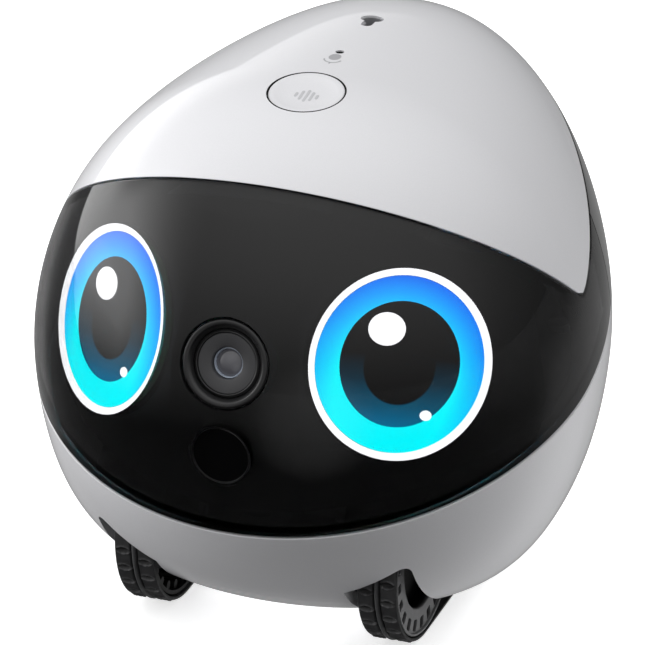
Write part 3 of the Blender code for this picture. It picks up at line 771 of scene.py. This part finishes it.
def face_axis(tilt):
    return Vector((0.0, -math.cos(tilt), math.sin(tilt)))


CAMERA_AXIS = face_axis(math.radians(17.7))
CAMERA_CENTRE, CAMERA_R = Vector((0.0, -49.4, 57.7)), 7.15
SENSOR_AXIS = face_axis(0.0)
SENSOR_R = 4.95
SENSOR_CENTRE = Vector((0.0, corners("sensor_window")[0][1], middle("sensor_window")[2]))
BUTTON_AXIS = -Vector(joint("top_button_press")["axis"])
BUTTON_R = (corners("top_button")[1][0] - corners("top_button")[0][0]) / 2
BUTTON_CENTRE = Vector((0.0, -12.1, 89.0))
POWER_AXIS = -Vector(joint("power_button_press")["axis"])
POWER_R = (corners("power_button")[1][0] - corners("power_button")[0][0]) / 2
MIC_Y, MIC_R = middle("microphone")[1], 0.72
SOCKET_Y = middle("accessory_socket")[1]


POWER_Z = 69.0
POWER_CENTRE = Vector((0.0, float(section(np.array([POWER_Z]), 0.0)[1][0]), POWER_Z))
KEYHOLE = (1.95, 1.5, 0.95, 3.7)  # the oval's half width and half depth, the neck's, and its reach


def keyhole_outline(grow):
    """A wide oval with a narrower round-ended neck in front of it, as (x, y) points."""
    wide, deep, neck, reach = (size + grow for size in KEYHOLE)
    turn = math.degrees(math.asin(neck / wide))
    oval = arc((0.0, SOCKET_Y), (wide, deep), turn - 90, 270 - turn, 48)
    return oval + arc((0.0, SOCKET_Y - reach + neck), neck, 180, 360, 16)


GAP_SHADE_WIDE = 0.21  # width of the gap round the top button, filled by a dark ring of painted shade
GAP_SHADE_LEAN, GAP_SHADE_LIFT = -0.022, 0.16  # the dark ring's top follows the cap, which is highest in front
ROOF_LOW, ROOF_HIGH = 80.0, 95.0  # levels below and above the cap's top


def build_cap():
    cap = dome("cap", cap_edge, True)
    cut(cap, hole(BUTTON_CENTRE, BUTTON_AXIS, BUTTON_R + GAP_SHADE_WIDE, chamfer=0.05, dip=0.22))
    cut(cap, turned("mic", [(MIC_R, ROOF_LOW), (MIC_R, ROOF_HIGH)], (0, MIC_Y, 0), sides=32))
    cut(cap, prism("keyhole", keyhole_outline(0.0), ROOF_LOW, ROOF_HIGH, axis="z"))
    finish(cap, "cap_shell_fine", WHITE, node="cap_shell")
    smooth_skin(cap)


def build_band():
    visor = band("visor", True, 220, 110)
    cut(visor, hole(CAMERA_CENTRE, CAMERA_AXIS, CAMERA_R + 0.12))
    cut(visor, hole(SENSOR_CENTRE, SENSOR_AXIS, SENSOR_R + 0.1))
    finish(visor, "visor_fine", SMOKED, node="visor")
    smooth_skin(visor)
    rear = band("rear", False, 120, 50)
    low, high = corners("charge_port")
    port = block("port", low - (FIT, 4.0, FIT), high + (FIT, 6.0, FIT))
    cut(rear, hole(POWER_CENTRE, POWER_AXIS, POWER_R + FIT, 48), port)
    finish(rear, "rear_band_fine", GLOSS, node="rear_band")
    smooth_skin(rear)


# ---- running gear sizes
SIDES = {"left": 1, "right": -1}
WHEEL_Z = joint("drive_left_spin")["pos_m"][2] / MM
REAR_WHEEL_Y = joint("drive_left_spin")["pos_m"][1] / MM
FRONT_WHEEL_Y = joint("idler_left_spin")["pos_m"][1] / MM
TRACK_IN_X, TRACK_OUT_X = corners("track_belt_left")[0][0], corners("track_belt_left")[1][0]
TRACK_WIDE = TRACK_OUT_X - TRACK_IN_X
BELT_R, BELT_THICK = WHEEL_Z, 0.9
WHEEL_R = BELT_R - BELT_THICK - GAP
WELL_R, WELL_IN_X, WELL_OUT_X = 17.8, 16.1, 27.0
WELL_ROUND = 2.0  # rounding of a well's outer edge
BELOW_Z = -20.0  # a level well under the robot


def slot_outline(radius):
    """Side view (y, z) of the slot for a track, open downwards."""
    front = arc((FRONT_WHEEL_Y, WHEEL_Z), radius, 180, 90, 32)
    rear = arc((REAR_WHEEL_Y, WHEEL_Z), radius, 90, 0, 32)
    return [(FRONT_WHEEL_Y - radius, BELOW_Z), *front, *rear, (REAR_WHEEL_Y + radius, BELOW_Z)]


def well_cutter(side):
    """The slot cut for a track, with its outer edge rounded off so that the arch peaks softly."""
    levels = [(WELL_IN_X, 0.0)] + arc((WELL_OUT_X - WELL_ROUND, WELL_ROUND), WELL_ROUND, -90, 0, 8)
    return lofted("slot", [[(side * x, y, z) for y, z in slot_outline(WELL_R - less)] for x, less in levels])


def build_lower():
    shell = dome("lower", lower_seam, False)
    for label, side in SIDES.items():
        cut(shell, well_cutter(side))
        low, high = corners(f"charge_contact_{label}")
        radius = (high[0] - low[0]) / 2 + FIT
        centre = ((low[0] + high[0]) / 2, (low[1] + high[1]) / 2, 0.0)
        cut(shell, turned("pin", [(radius, -5.0), (radius, 12.0)], centre, sides=48))
    finish(shell, "lower_shell_fine", WHITE, node="lower_shell")
    smooth_skin(shell)


# ---- eyes
EYE_CENTRE, EYE_TURN, EYE_TILT = (24.6, -36.2, 55.7), math.radians(38.9), math.radians(16.9)
ARTWORK_ROLL = math.radians(-13.0)  # the eyes' artwork leans outwards
EYE_SIDES, SPOT_SIDES = 144, 64

# Turned profiles of an eye's pieces: (radius, height over the disc they stand on)
RIM = EYE_R - 0.04
RING_PROFILE = [(IRIS_R, -DISPLAY_DROP - 0.2), (IRIS_R, -DISPLAY_DROP), (RIM, 0.02), (EYE_R, 0.0),
                (EYE_R, -0.08), (RIM, -0.1), (IRIS_R + 0.3, -DISPLAY_DROP - 0.2)]
IRIS_PROFILE = [(PUPIL_R, -0.15), (IRIS_R - 0.2, -0.15), (IRIS_R - 0.05, -0.03), (IRIS_R - 0.08, 0.0),
                (PUPIL_R, 0.0)]
PUPIL_PROFILE = [(PUPIL_R - 0.01, -0.8), (PUPIL_R - 0.01, -0.08), (PUPIL_R - 0.06, -0.04), (0.0, -0.04)]
SPOT_PROFILE = [(1.0, -0.2), (1.0, 0.03), (0.97, 0.07), (0.0, 0.09)]

# A catch light's angle and distance from the pupil's middle, its half width and its half height
CATCH_LIGHTS = {"large": (118.0, 6.1, 3.12, 2.65), "small": (-55.7, 9.4, 1.0, 0.82)}


def eye_matrix(side):
    """Frame of an eye's display: +Z out of the face, +Y up the artwork."""
    flat = math.cos(EYE_TILT)
    normal = Vector((side * math.sin(EYE_TURN) * flat, -math.cos(EYE_TURN) * flat, math.sin(EYE_TILT)))
    right = Vector((0, 0, 1)).cross(normal).normalized()
    up = normal.cross(right)
    turn = Matrix((right, up, normal)).transposed().to_4x4()
    centre = Vector((side * EYE_CENTRE[0], *EYE_CENTRE[1:]))
    return Matrix.Translation(centre) @ turn @ Matrix.Rotation(side * ARTWORK_ROLL, 4, "Z")


def build_eye(label, side):
    matrix = eye_matrix(side)
    display = f"eye_display_{label}"
    ring = turned("ring", RING_PROFILE, sides=EYE_SIDES, hollow=True)
    hang(ring, f"eye_ring_fine_{label}", RING, matrix, node=f"eye_ring_{label}")
    matrix = matrix @ Matrix.Translation((0.0, 0.0, -DISPLAY_DROP))
    iris = turned("iris", IRIS_PROFILE, sides=EYE_SIDES, hollow=True)
    hang(iris, f"eye_iris_{label}", IRIS, matrix, node=display)
    pupil = turned("pupil", PUPIL_PROFILE, sides=EYE_SIDES)
    hang(pupil, f"eye_pupil_{label}", PUPIL, matrix, node=display)
    for size, (angle, distance, wide, high) in CATCH_LIGHTS.items():
        a = math.radians(angle)
        spot = turned("spot", SPOT_PROFILE, sides=SPOT_SIDES)
        spot.data.transform(Matrix.Diagonal((wide, high, 1.0, 1.0)))
        spot.data.transform(Matrix.Translation((distance * math.cos(a), distance * math.sin(a), 0.0)))
        hang(spot, f"eye_catch_light_{size}_{label}", CATCH, matrix, node=display)


# ---- camera and sensor
# The camera's pieces, outside in: name, CAD node, paint, slot and turned profile (radius, height over
# the visor's skin). A profile that ends on the axis makes a solid, and any other a ring.
CAMERA_PIECES = [
    ("camera_bezel_fine", "camera_bezel", BEZEL, "gloss_black",
     [(CAMERA_R, -4.5), (CAMERA_R, -0.5), *arc((CAMERA_R - 0.45, -0.45), 0.45, 0, 90, 6), (6.35, -0.02),
      (6.2, -0.1), (5.95, -0.45), (5.65, -0.9), (5.6, -1.1), (5.6, -4.5)]),
    ("camera_inner_ring_fine", "camera_inner_ring", BEZEL, "black_plastic",
     [(5.55, -3.0), (5.55, -1.25), (5.3, -0.95), (5.05, -0.8), (4.95, -0.85), (4.9, -1.0), (4.88, -3.0)]),
    ("camera_baffle_fine", "camera_baffle", LENS_PLATE, "black_plastic",
     [(4.85, -3.2), (4.85, -1.1), (4.78, -1.04), (4.7, -1.04), (2.75, -1.06), (2.62, -1.14), (2.55, -1.7),
      (2.55, -3.2)]),
    ("camera_lens_rim", "camera_lens", LENS_RIM, "lens_glass",
     [(2.5, -3.4), (2.5, -2.0), (2.44, -1.88), (2.3, -1.86), (2.22, -1.98), (2.2, -3.4)]),
    ("camera_lens_fine", "camera_lens", LENS, "lens_glass",
     [(2.17, -3.4), (2.17, -2.3), (1.9, -2.15), (1.4, -1.97), (0.9, -1.85), (0.45, -1.79), (0.0, -1.77)]),
]
FRAME_WIDE = 0.28  # the thin frame round the sensor's window
PANE_R = SENSOR_R - FRAME_WIDE - 0.02
SENSOR_PIECES = [
    ("sensor_frame", "sensor_window", BEZEL, "gloss_black",
     [(SENSOR_R, -0.95), (SENSOR_R, -0.12), (SENSOR_R - 0.1, 0.0), (SENSOR_R - 0.22, 0.0),
      (SENSOR_R - FRAME_WIDE, -0.1), (SENSOR_R - FRAME_WIDE, -0.95)]),
    ("sensor_window_fine", "sensor_window", GLOSS, "gloss_black",
     [(PANE_R, -0.95), (PANE_R, -0.2), (PANE_R - 0.1, -0.12), (0.0, -0.1)]),
]


def build_turned(pieces, centre, axis, sides):
    for name, node, paint, slot, profile in pieces:
        piece = turned(name, profile, centre, axis, sides, hollow=profile[-1][0] > 0)
        finish(piece, name, paint, node=node)


# ---- top
BAR_LENGTHS, BAR_STEP, BAR_WIDTH = (1.3, 2.7, 3.6, 2.6, 1.3), 0.88, 0.46
ICON_SHIFT = (0.3, -0.8)  # the bars' middle on the button
BAR_LOW, BAR_HIGH = -0.3, -0.045
BUTTON_FOOT_R, BUTTON_SIDE = 2.0, 1.6  # the button's stalk, and how far its side goes down
BUTTON_DISH = [(5.25, 0.06), (4.95, 0.02), (4.6, -0.05), (3.0, -0.09), (1.5, -0.1), (0.0, -0.1)]
MIC_ICON_Y, MIC_OVAL, MIC_LINE = 1.3, (1.0, 1.28), 0.27
MIC_CRADLE_Y, MIC_CRADLE_R, MIC_STEM = 0.35, 1.42, 0.55
PRINT_PROUD, PRINT_THICK = 0.012, 0.4  # an icon's top over the cap's highest point, and its thickness
MIC_SUNK, MIC_LID = 1.0, 0.75  # microphone's gauze below the skin, and its thickness
LINER_SUNK, LINER_WALL = 0.3, 0.28


def capsule(width, length, steps=8):
    """Outline of a bar with round ends, along y."""
    r, half = width / 2, length / 2 - width / 2
    return arc((0.0, half), r, 0, 180, steps) + arc((0.0, -half), r, 180, 360, steps)


def build_button():
    r = BUTTON_R
    profile = [(BUTTON_FOOT_R, -3.4), (BUTTON_FOOT_R, -BUTTON_SIDE), (r, -BUTTON_SIDE), (r, -0.2)]
    profile += arc((r - 0.25, -0.2), 0.25, 0, 90, 5) + [(r - 0.6, 0.06)] + BUTTON_DISH
    button = turned("button", profile, sides=EYE_SIDES)
    right = Vector((1.0, 0.0, 0.0))
    turn = Matrix((right, BUTTON_AXIS.cross(right), BUTTON_AXIS)).transposed().to_4x4()
    matrix = Matrix.Translation(BUTTON_CENTRE) @ turn
    hang(button, "top_button_fine", WHITE, matrix, "top_button", "top_button", sharp=25.0)
    # painted shade: a dark ring fills the gap round the button, standing in for the shadow in the gap and on
    # the button's side
    inner, outer = r + 0.03, r + GAP_SHADE_WIDE - 0.01
    profile = [(inner, -1.5), (outer, -1.5), (outer, -0.04), (inner, -0.04)]
    gap_shade = turned("gap_shade", profile, sides=EYE_SIDES, hollow=True)
    gap_shade.data.transform(Matrix(((1, 0, 0, 0), (0, 1, 0, 0), (0, GAP_SHADE_LEAN, 1, GAP_SHADE_LIFT), (0, 0, 0, 1))))
    hang(gap_shade, "top_button_gap_shade", DARK, matrix, node="cap_shell")
    for k, length in enumerate(BAR_LENGTHS):
        bar = prism("bar", capsule(BAR_WIDTH, length), BAR_LOW, BAR_HIGH, axis="z")
        middle_x = ICON_SHIFT[0] + (k - (len(BAR_LENGTHS) - 1) / 2) * BAR_STEP
        bar.data.transform(Matrix.Translation((middle_x, ICON_SHIFT[1], 0.0)))
        hang(bar, f"button_icon_bar_{k + 1}", GREY_PRINT, matrix, "top_button", "top_button")


def skin_height(y):
    """Height of the skin over a place on the middle plane."""
    def outside(z):
        front, rear, _widest, _half = section(z, 0.0)
        return (y <= front) | (y >= rear)
    return float(turning_point(WIDE_Z, TOP_Z, outside, np.zeros(1))[0])


def build_top_inserts():
    half = MIC_LINE / 2
    foot = MIC_CRADLE_Y - MIC_CRADLE_R
    inner, outer = (arc((0.0, MIC_CRADLE_Y), MIC_CRADLE_R + grow, 188, 352, 32) for grow in (-half, half))
    icons = {"oval": arc((0.0, MIC_ICON_Y), MIC_OVAL, 0, 360, 48)[:-1],
             "cradle": outer + inner[::-1],
             "stem": [(-half, foot - MIC_STEM), (half, foot - MIC_STEM), (half, foot), (-half, foot)]}
    top = TOP_Z + PRINT_PROUD
    for name, outline in icons.items():
        icon = prism(name, outline, top - PRINT_THICK, top, axis="z")
        finish(icon, f"mic_icon_{name}", MIC_PRINT, node="cap_shell")
    floor_z, rim_z = corners("accessory_socket")[1][2], skin_height(SOCKET_Y + 1.6) - LINER_SUNK
    liner = prism("liner", keyhole_outline(-0.02), floor_z, rim_z, axis="z")
    cut(liner, prism("space", keyhole_outline(-0.02 - LINER_WALL), floor_z - 1.0, rim_z + 1.0, axis="z"))
    finish(liner, "accessory_socket_liner", SOCKET, node="cap_shell")
    low, r = skin_height(MIC_Y) - MIC_SUNK, MIC_R - 0.02
    profile = [(0.4, low - 3.0), (0.4, low), (r, low), (r, low + MIC_LID), (0.0, low + MIC_LID - 0.1)]
    gauze = turned("mic", profile, (0, MIC_Y, 0), sides=32)
    finish(gauze, "microphone_fine", DARK, node="microphone")


# ---- back
def build_rear():
    r = POWER_R
    profile = [(1.3, -4.0), (1.3, -2.0), (r, -2.0), (r, -0.55)] + arc((r - 0.4, -0.5), 0.4, 0, 90, 5)
    profile += [(r - 0.9, -0.12), (1.2, -0.3), (0.0, -0.32)]
    button = turned("power", profile, POWER_CENTRE, POWER_AXIS, 96)
    finish(button, "power_button_fine", BLACK, "power_button", "power_button", POWER_CENTRE)


# ---- running gear
PITCHES, PITCH_STEPS, BELT_COLUMNS = 48, 20, 44
BELT_FACE = BELT_R - 0.32  # plain face of the belt, below its lips
ROW_X, POCKET_HALF, POCKET_WIDE, POCKET_DEEP = 1.85, 1.3, 0.5, 0.45
LIP_WIDE, LIP_HIGH = 0.34, 0.26
LOW_LIP = 0.6  # height of a pocket's lip on its other side, as a share
RIB_HALF, RIB_HIGH, RIB_SLOPE = 0.3, 0.24, 0.1
GROOVE_AWAY, GROOVE_HALF, GROOVE_DEEP = 0.22, 0.2, 0.35
BELT_EDGE, BELT_ROUND = 0.18, 0.06  # plain edge beside the tread, and its rounding
PITCH_LENGTH = 2 * (REAR_WHEEL_Y - FRONT_WHEEL_Y + math.pi * BELT_R) / PITCHES

RUBBER = rubber_paint()


def tread(travel, across):
    """Height of the tread above the belt's plain face, at a share of a pitch and places across it."""
    height = np.zeros_like(across)
    for row, side in enumerate((-1, 1)):
        lens = np.maximum(1 - ((across - side * ROW_X) / POCKET_HALF) ** 2, 0.0)
        ahead = (travel + 0.5 * row) % 1.0 * PITCH_LENGTH - PITCH_LENGTH / 2
        pocket = np.abs(ahead) / (POCKET_WIDE * np.maximum(lens, 1e-3))
        height -= POCKET_DEEP * np.sqrt(np.maximum(1 - pocket ** 2, 0.0)) * (lens > 0.05)
        past_edge = np.abs(ahead) - POCKET_WIDE * lens - LIP_WIDE / 2
        lip = np.maximum(1 - (2 * past_edge / LIP_WIDE) ** 2, 0.0)
        height += lip * np.where(ahead > 0, LIP_HIGH, LOW_LIP * LIP_HIGH) * np.minimum(lens * 4, 1.0)
    rib = np.clip((RIB_HALF - np.abs(across)) / RIB_SLOPE, 0.0, 1.0)
    groove = np.clip(1 - np.abs(np.abs(across) - RIB_HALF - GROOVE_AWAY) / GROOVE_HALF, 0.0, 1.0)
    return height + RIB_HIGH * rib - GROOVE_DEEP * groove


def stadium_place(share):
    """Centre, and outward direction, at a share of the way round the track (y, z)."""
    half_turn = math.pi * BELT_R
    half_way = REAR_WHEEL_Y - FRONT_WHEEL_Y + half_turn
    second, s = divmod(2 * share * half_way, half_way)
    y, a = FRONT_WHEEL_Y + max(s - half_turn, 0.0), math.pi / 2 + min(s, half_turn) / BELT_R
    if second:
        y, a = FRONT_WHEEL_Y + REAR_WHEEL_Y - y, a + math.pi
    return (y, WHEEL_Z), (math.cos(a), math.sin(a))


def build_belt(label, side):
    half = TRACK_WIDE / 2
    centre_x = side * (TRACK_OUT_X + TRACK_IN_X) / 2
    inner_r, edge_r, shoulder_r = BELT_R - BELT_THICK, BELT_FACE - 0.2, BELT_FACE - BELT_ROUND
    across = np.linspace(-half + BELT_EDGE, half - BELT_EDGE, BELT_COLUMNS)
    rings = []
    for k in range(PITCHES * PITCH_STEPS):
        (cy, cz), (dy, dz) = stadium_place(k / (PITCHES * PITCH_STEPS))
        travel = (k % PITCH_STEPS) / PITCH_STEPS
        radius = BELT_FACE + tread(np.full(BELT_COLUMNS, travel), across)
        shape = [(-half, inner_r), (-half, edge_r), (-half + BELT_ROUND, shoulder_r)]
        shape += list(zip(across, radius))
        shape += [(half - BELT_ROUND, shoulder_r), (half, edge_r), (half, inner_r)]
        shape += [(half * s, inner_r) for s in (0.5, 0.0, -0.5)]
        rings.append([(centre_x + x, cy + dy * r, cz + dz * r) for x, r in shape])
    belt = lofted("belt", rings, wrap=True)
    finish(belt, f"track_belt_fine_{label}", RUBBER, node=f"track_belt_{label}", sharp=48.0)


SLOTS, SLOT_R, SLOT_LONG, SLOT_WIDE, SLOT_ROUND, SLOT_DEEP = 24, 13.2, 2.0, 1.75, 0.4, 2.0
HUB_R, RIM_IN_R, TOOTH_TIP_R, TOOTH_WIDE = 10.3, 14.15, 12.6, 1.45


def rounded_box(wide, long, corner, steps=4):
    """Outline of a box with rounded corners."""
    points = []
    for start, sx, sy in ((0, 1, 1), (90, -1, 1), (180, -1, -1), (270, 1, -1)):
        centre = (sx * (wide / 2 - corner), sy * (long / 2 - corner))
        points += arc(centre, corner, start, start + 90, steps)
    return points


def round_the_rim(outline, count, phase, radius, low, high):
    """Copies of a small prism, spaced round the wheel, as one object."""
    merged = bmesh.new()
    for k in range(count):
        single = prism("single", outline, low, high, axis="z")
        turn = Matrix.Rotation(2 * math.pi * (k + phase) / count - math.pi / 2, 4, "Z")
        single.data.transform(turn @ Matrix.Translation((0.0, radius, 0.0)))
        merged.from_mesh(single.data)
        bpy.data.objects.remove(single, do_unlink=True)
    row = new_object("row", [], [])
    merged.to_mesh(row.data)
    merged.free()
    return row


# The wheels' turned profile: (radius, height over the wheel's inner side), in the order rim, dish and hub
FACE = TRACK_WIDE - 0.35
DISH_R, WEB_OUT, WEB_IN = HUB_R + 0.35, FACE - 2.5, FACE - 3.2
WHEEL_PROFILE = [
    (RIM_IN_R, 0.3), (WHEEL_R - 0.1, 0.3), (WHEEL_R, 0.4), (WHEEL_R, TRACK_WIDE - 0.1),
    (WHEEL_R - 0.1, TRACK_WIDE), (WHEEL_R - 0.35, TRACK_WIDE), (WHEEL_R - 0.45, TRACK_WIDE - 0.1),
    (WHEEL_R - 0.5, FACE), (DISH_R, FACE), *arc((DISH_R, FACE - 0.35), 0.35, 90, 180, 5),
    (HUB_R, FACE - 2.1), *arc((HUB_R - 0.4, FACE - 2.1), 0.4, 0, -90, 5),
    (3.3, WEB_OUT), (3.1, WEB_OUT + 0.2), (3.0, FACE - 0.95), (2.9, FACE - 0.9), (1.1, FACE - 0.9),
    (1.1, 0.35), (3.0, 0.35), (3.1, 0.45), (3.1, WEB_IN), (HUB_R + 0.5, WEB_IN),
    (HUB_R + 0.8, WEB_IN + 0.3), (HUB_R + 0.8, FACE - 1.3), (HUB_R + 1.0, FACE - 1.1), (RIM_IN_R, FACE - 1.1)]
TRIM_PROFILE = [(WHEEL_R - 0.2, 0.6), (WHEEL_R + 2.0, 0.6), (WHEEL_R + 2.0, FACE - 0.5),
                (WHEEL_R - 0.2, FACE - 0.5)]
WHEEL_SIDES = 120


def build_wheel(name, label, side, centre_y, body):
    wheel = turned("wheel", WHEEL_PROFILE, sides=WHEEL_SIDES, hollow=True)
    tooth_long = RIM_IN_R + 0.3 - TOOTH_TIP_R + TOOTH_WIDE
    tooth = capsule(TOOTH_WIDE, tooth_long, 6)
    join(wheel, round_the_rim(tooth, SLOTS, 0.0, TOOTH_TIP_R + tooth_long / 2, 0.9, FACE - 0.8))
    cut(wheel, turned("trim", TRIM_PROFILE, sides=WHEEL_SIDES, hollow=True))
    slot = rounded_box(SLOT_WIDE, SLOT_LONG, SLOT_ROUND)
    cut(wheel, round_the_rim(slot, SLOTS, 0.5, SLOT_R, FACE - SLOT_DEEP, TRACK_WIDE + 1.0))
    matrix = Matrix.Translation(Vector((side * TRACK_IN_X, centre_y, WHEEL_Z))) @ along((side, 0, 0))
    node = f"{name}_wheel_{label}"
    hang(wheel, f"{name}_wheel_fine_{label}", WHEEL, matrix, node, body, sharp=30.0)


# ---- build
build_cap()
build_band()
build_lower()
for gear_label, gear_side in SIDES.items():
    build_eye(gear_label, gear_side)
    build_belt(gear_label, gear_side)
    build_wheel("front", gear_label, gear_side, FRONT_WHEEL_Y, f"idler_{gear_label}")
    build_wheel("rear", gear_label, gear_side, REAR_WHEEL_Y, f"drive_{gear_label}")
build_turned(CAMERA_PIECES, CAMERA_CENTRE, CAMERA_AXIS, 128)
build_turned(SENSOR_PIECES, SENSOR_CENTRE, SENSOR_AXIS, 96)
build_button()
build_top_inserts()
build_rear()

# CAD nodes that stay as they are take a paint by their own name, or else by their material slot
NODE_PAINT = {"face_carrier": DARK, "track_well_left": DARK, "track_well_right": DARK,
              "accessory_socket": SOCKET}
SLOT_PAINT = {"shell_white": WHITE, "visor_smoke": SMOKED, "gloss_black": GLOSS, "black_plastic": BLACK,
              "track_rubber": RUBBER, "ring_white": RING, "eye_blue": IRIS, "lens_glass": LENS,
              "steel": STEEL, "contact_gold": GOLD, "circuit_board": BOARD, "battery_wrap": WRAP}
for entry in frame["record"]["subparts"]:
    for mesh_slot in frame["nodes"][entry["node"]].material_slots:
        mesh_slot.material = NODE_PAINT.get(entry["node"]) or SLOT_PAINT[entry["material_slot"]]


# ---- studio
TARGET = Vector((0.0, -4.606, 44.98))
TOWARDS_CAMERA, CAMERA_REACH = Vector((0.3091, -0.8492, 0.4281)), 940.0
LENS_MM, SENSOR_MM = 319.3, 36.0
CLIP_NEAR, CLIP_FAR = 0.01, 20.0  # metres

# Broad lamps: name, direction towards the lamp, strength, and apparent size in degrees
SUNS = [("key", (-0.3, 0.17, 0.94), 0.7, 60.0), ("top_right", (0.45, 0.45, 0.77), 0.65, 60.0),
        ("low_right", (0.36, 0.6, -0.71), 3.2, 50.0), ("low_left", (-0.97, 0.0, -0.26), 1.9, 50.0)]

AMBIENT, FRONT_LIGHT, LOW_LIGHT, BOX_LIGHT, BACK_LIGHT = 0.09, 0.3, 0.15, 1.9, 1.5
HIGH_LIGHT, HIGH_SHIFT = (0.0, 0.0, 0.66), 0.22  # light from above, for directions not behind
AHEAD, AHEAD_SHIFT = (0.0, -1.2, 0.0), 1.0
FRONT_LOBE, LOBE_EDGE = (0.27, -0.94, -0.2), (0.9, 1.0)
LOW_BEHIND, LOW_BELOW = (0.35, 0.6), (0.1, 0.3)  # where the low light fades in, by y and by -z
BEHIND = (0.1, 0.4)  # the front half of the studio ends here, by y
BOX_RISE, BOX_SHIFT, BOX_TOP = (-2.5, 0.0, 0.0), -1.25, 1.05
BOX_EDGE, BOX_BLUR = (-0.159, -0.46, 0.873), 0.006  # the soft box's sharp lower edge
SHADE_LEFT, BOX_FOOT = (0.35, 0.55), (-0.3, 0.2)  # shade under that edge, by -x; box fades in, by z
BACK_RISE, BACK_SHIFT = (-1.5, 0.0, 0.0), -0.075
BACK_EDGE, BACK_EDGE_SHIFT, BACK_BLUR = (-0.43, 0.0, 1.0), -0.365, 0.012
BACK_FADE = (0.2, 0.5)  # the back light fades out upwards, by z
ROOM, ROOM_EDGE = (0.0, 0.8, 1.0), (-0.9, 0.2)
FLOOR_SIZE, FLOOR_Z, FLOOR_GLOW = 3000.0, -0.05, 0.62


def add_camera():
    data = bpy.data.cameras.new("camera")
    data.lens, data.sensor_width = LENS_MM, SENSOR_MM
    data.clip_start, data.clip_end = CLIP_NEAR, CLIP_FAR
    camera = show("camera", data)
    camera.location = (TARGET + TOWARDS_CAMERA.normalized() * CAMERA_REACH) * MM
    camera.rotation_euler = (-TOWARDS_CAMERA).to_track_quat("-Z", "Y").to_euler()
    bpy.context.scene.camera = camera


def add_suns():
    """Broad lamps that light surfaces and stay out of their gloss."""
    for name, towards, strength, size in SUNS:
        data = bpy.data.lights.new(name, "SUN")
        data.energy, data.angle = strength, math.radians(size)
        lamp = show(name, data)
        lamp.rotation_euler = Vector(towards).to_track_quat("Z", "Y").to_euler()
        lamp.visible_glossy = False


class Sky(Paint):
    """Studio light as a function of direction, written with the same node helpers."""

    def __init__(self, world):
        self.start(world, "Background", "Generated")
        self.axes = self.xyz()

    def along(self, weights, shift=0.0):
        """Weighted sum of the direction's x, y and z."""
        return self.total(shift, *(self.product(part, weight) for part, weight in zip(self.axes, weights)))

    def smooth(self, value, low, high):
        inputs = {"Value": value, "From Min": low, "From Max": high}
        return self.node("ShaderNodeMapRange", inputs, interpolation_type="SMOOTHSTEP")["Result"]

    def clamped(self, value, high=None):
        value = self.math("MAXIMUM", value, 0.0)
        return value if high is None else self.math("MINIMUM", value, high)

    def rest(self, share):
        return self.math("SUBTRACT", 1.0, share)


def add_world():
    world = bpy.data.worlds.new("studio")
    bpy.context.scene.world = world
    sky = Sky(world)
    x, y, z = sky.axes
    minus_x, minus_z = sky.product(x, -1.0), sky.product(z, -1.0)
    high = sky.product(sky.clamped(sky.along(HIGH_LIGHT, HIGH_SHIFT)),
                       sky.clamped(sky.along(AHEAD, AHEAD_SHIFT), 1.0))
    lobe = sky.product(sky.smooth(sky.along(FRONT_LOBE), *LOBE_EDGE), FRONT_LIGHT)
    low = sky.product(sky.smooth(y, *LOW_BEHIND), sky.smooth(minus_z, *LOW_BELOW), LOW_LIGHT)
    behind = sky.smooth(y, *BEHIND)
    before = sky.rest(behind)
    under_edge = sky.rest(sky.smooth(sky.along(BOX_EDGE), -BOX_BLUR, BOX_BLUR))
    shade = sky.product(under_edge, sky.smooth(minus_x, *SHADE_LEFT), before)
    box = sky.math("POWER", sky.clamped(sky.along(BOX_RISE, BOX_SHIFT), BOX_TOP), 3.0)
    box = sky.product(box, BOX_LIGHT, sky.smooth(z, *BOX_FOOT), before)
    back = sky.math("POWER", sky.clamped(sky.along(BACK_RISE, BACK_SHIFT)), 1.3)
    back = sky.product(back, BACK_LIGHT, behind, sky.rest(sky.smooth(z, *BACK_FADE)),
                       sky.smooth(sky.along(BACK_EDGE, BACK_EDGE_SHIFT), -BACK_BLUR, BACK_BLUR))
    lights = sky.product(sky.total(high, lobe, low, box, back), sky.rest(shade))
    room = sky.product(sky.smooth(sky.along(ROOM), *ROOM_EDGE), AMBIENT)
    seen = sky.node("ShaderNodeLightPath", {})["Is Camera Ray"]
    strength = sky.total(sky.product(sky.total(lights, room), sky.rest(seen)), seen)
    sky.feed("Strength", strength)
    sky.set(Color=(1.0, 1.0, 1.0, 1.0))


def add_floor():
    plain = (1.0, 1.0, 1.0, 1.0)
    pale = surface("pale_floor", (tint(plain, 0.95), 0.995, 1.0, 30.0, 2.0), (0.85, 0.95, 2.0),
                   (0.2, 0.01, 1.0, 2.0), Specular_IOR_Level=0.0, Emission_Color=plain,
                   Emission_Strength=FLOOR_GLOW)
    places = [(sx * FLOOR_SIZE, sy * FLOOR_SIZE, FLOOR_Z) for sx, sy in ((-1, -1), (1, -1), (1, 1), (-1, 1))]
    floor = new_object("floor", places, [(0, 1, 2, 3)])
    floor.data.transform(Matrix.Scale(MM, 4))
    floor.data.materials.append(pale)
    for flag in ("visible_glossy", "visible_diffuse", "visible_shadow"):
        setattr(floor, flag, False)


add_camera()
add_suns()
add_world()
add_floor()
bpy.context.scene.view_settings.view_transform = "Standard"
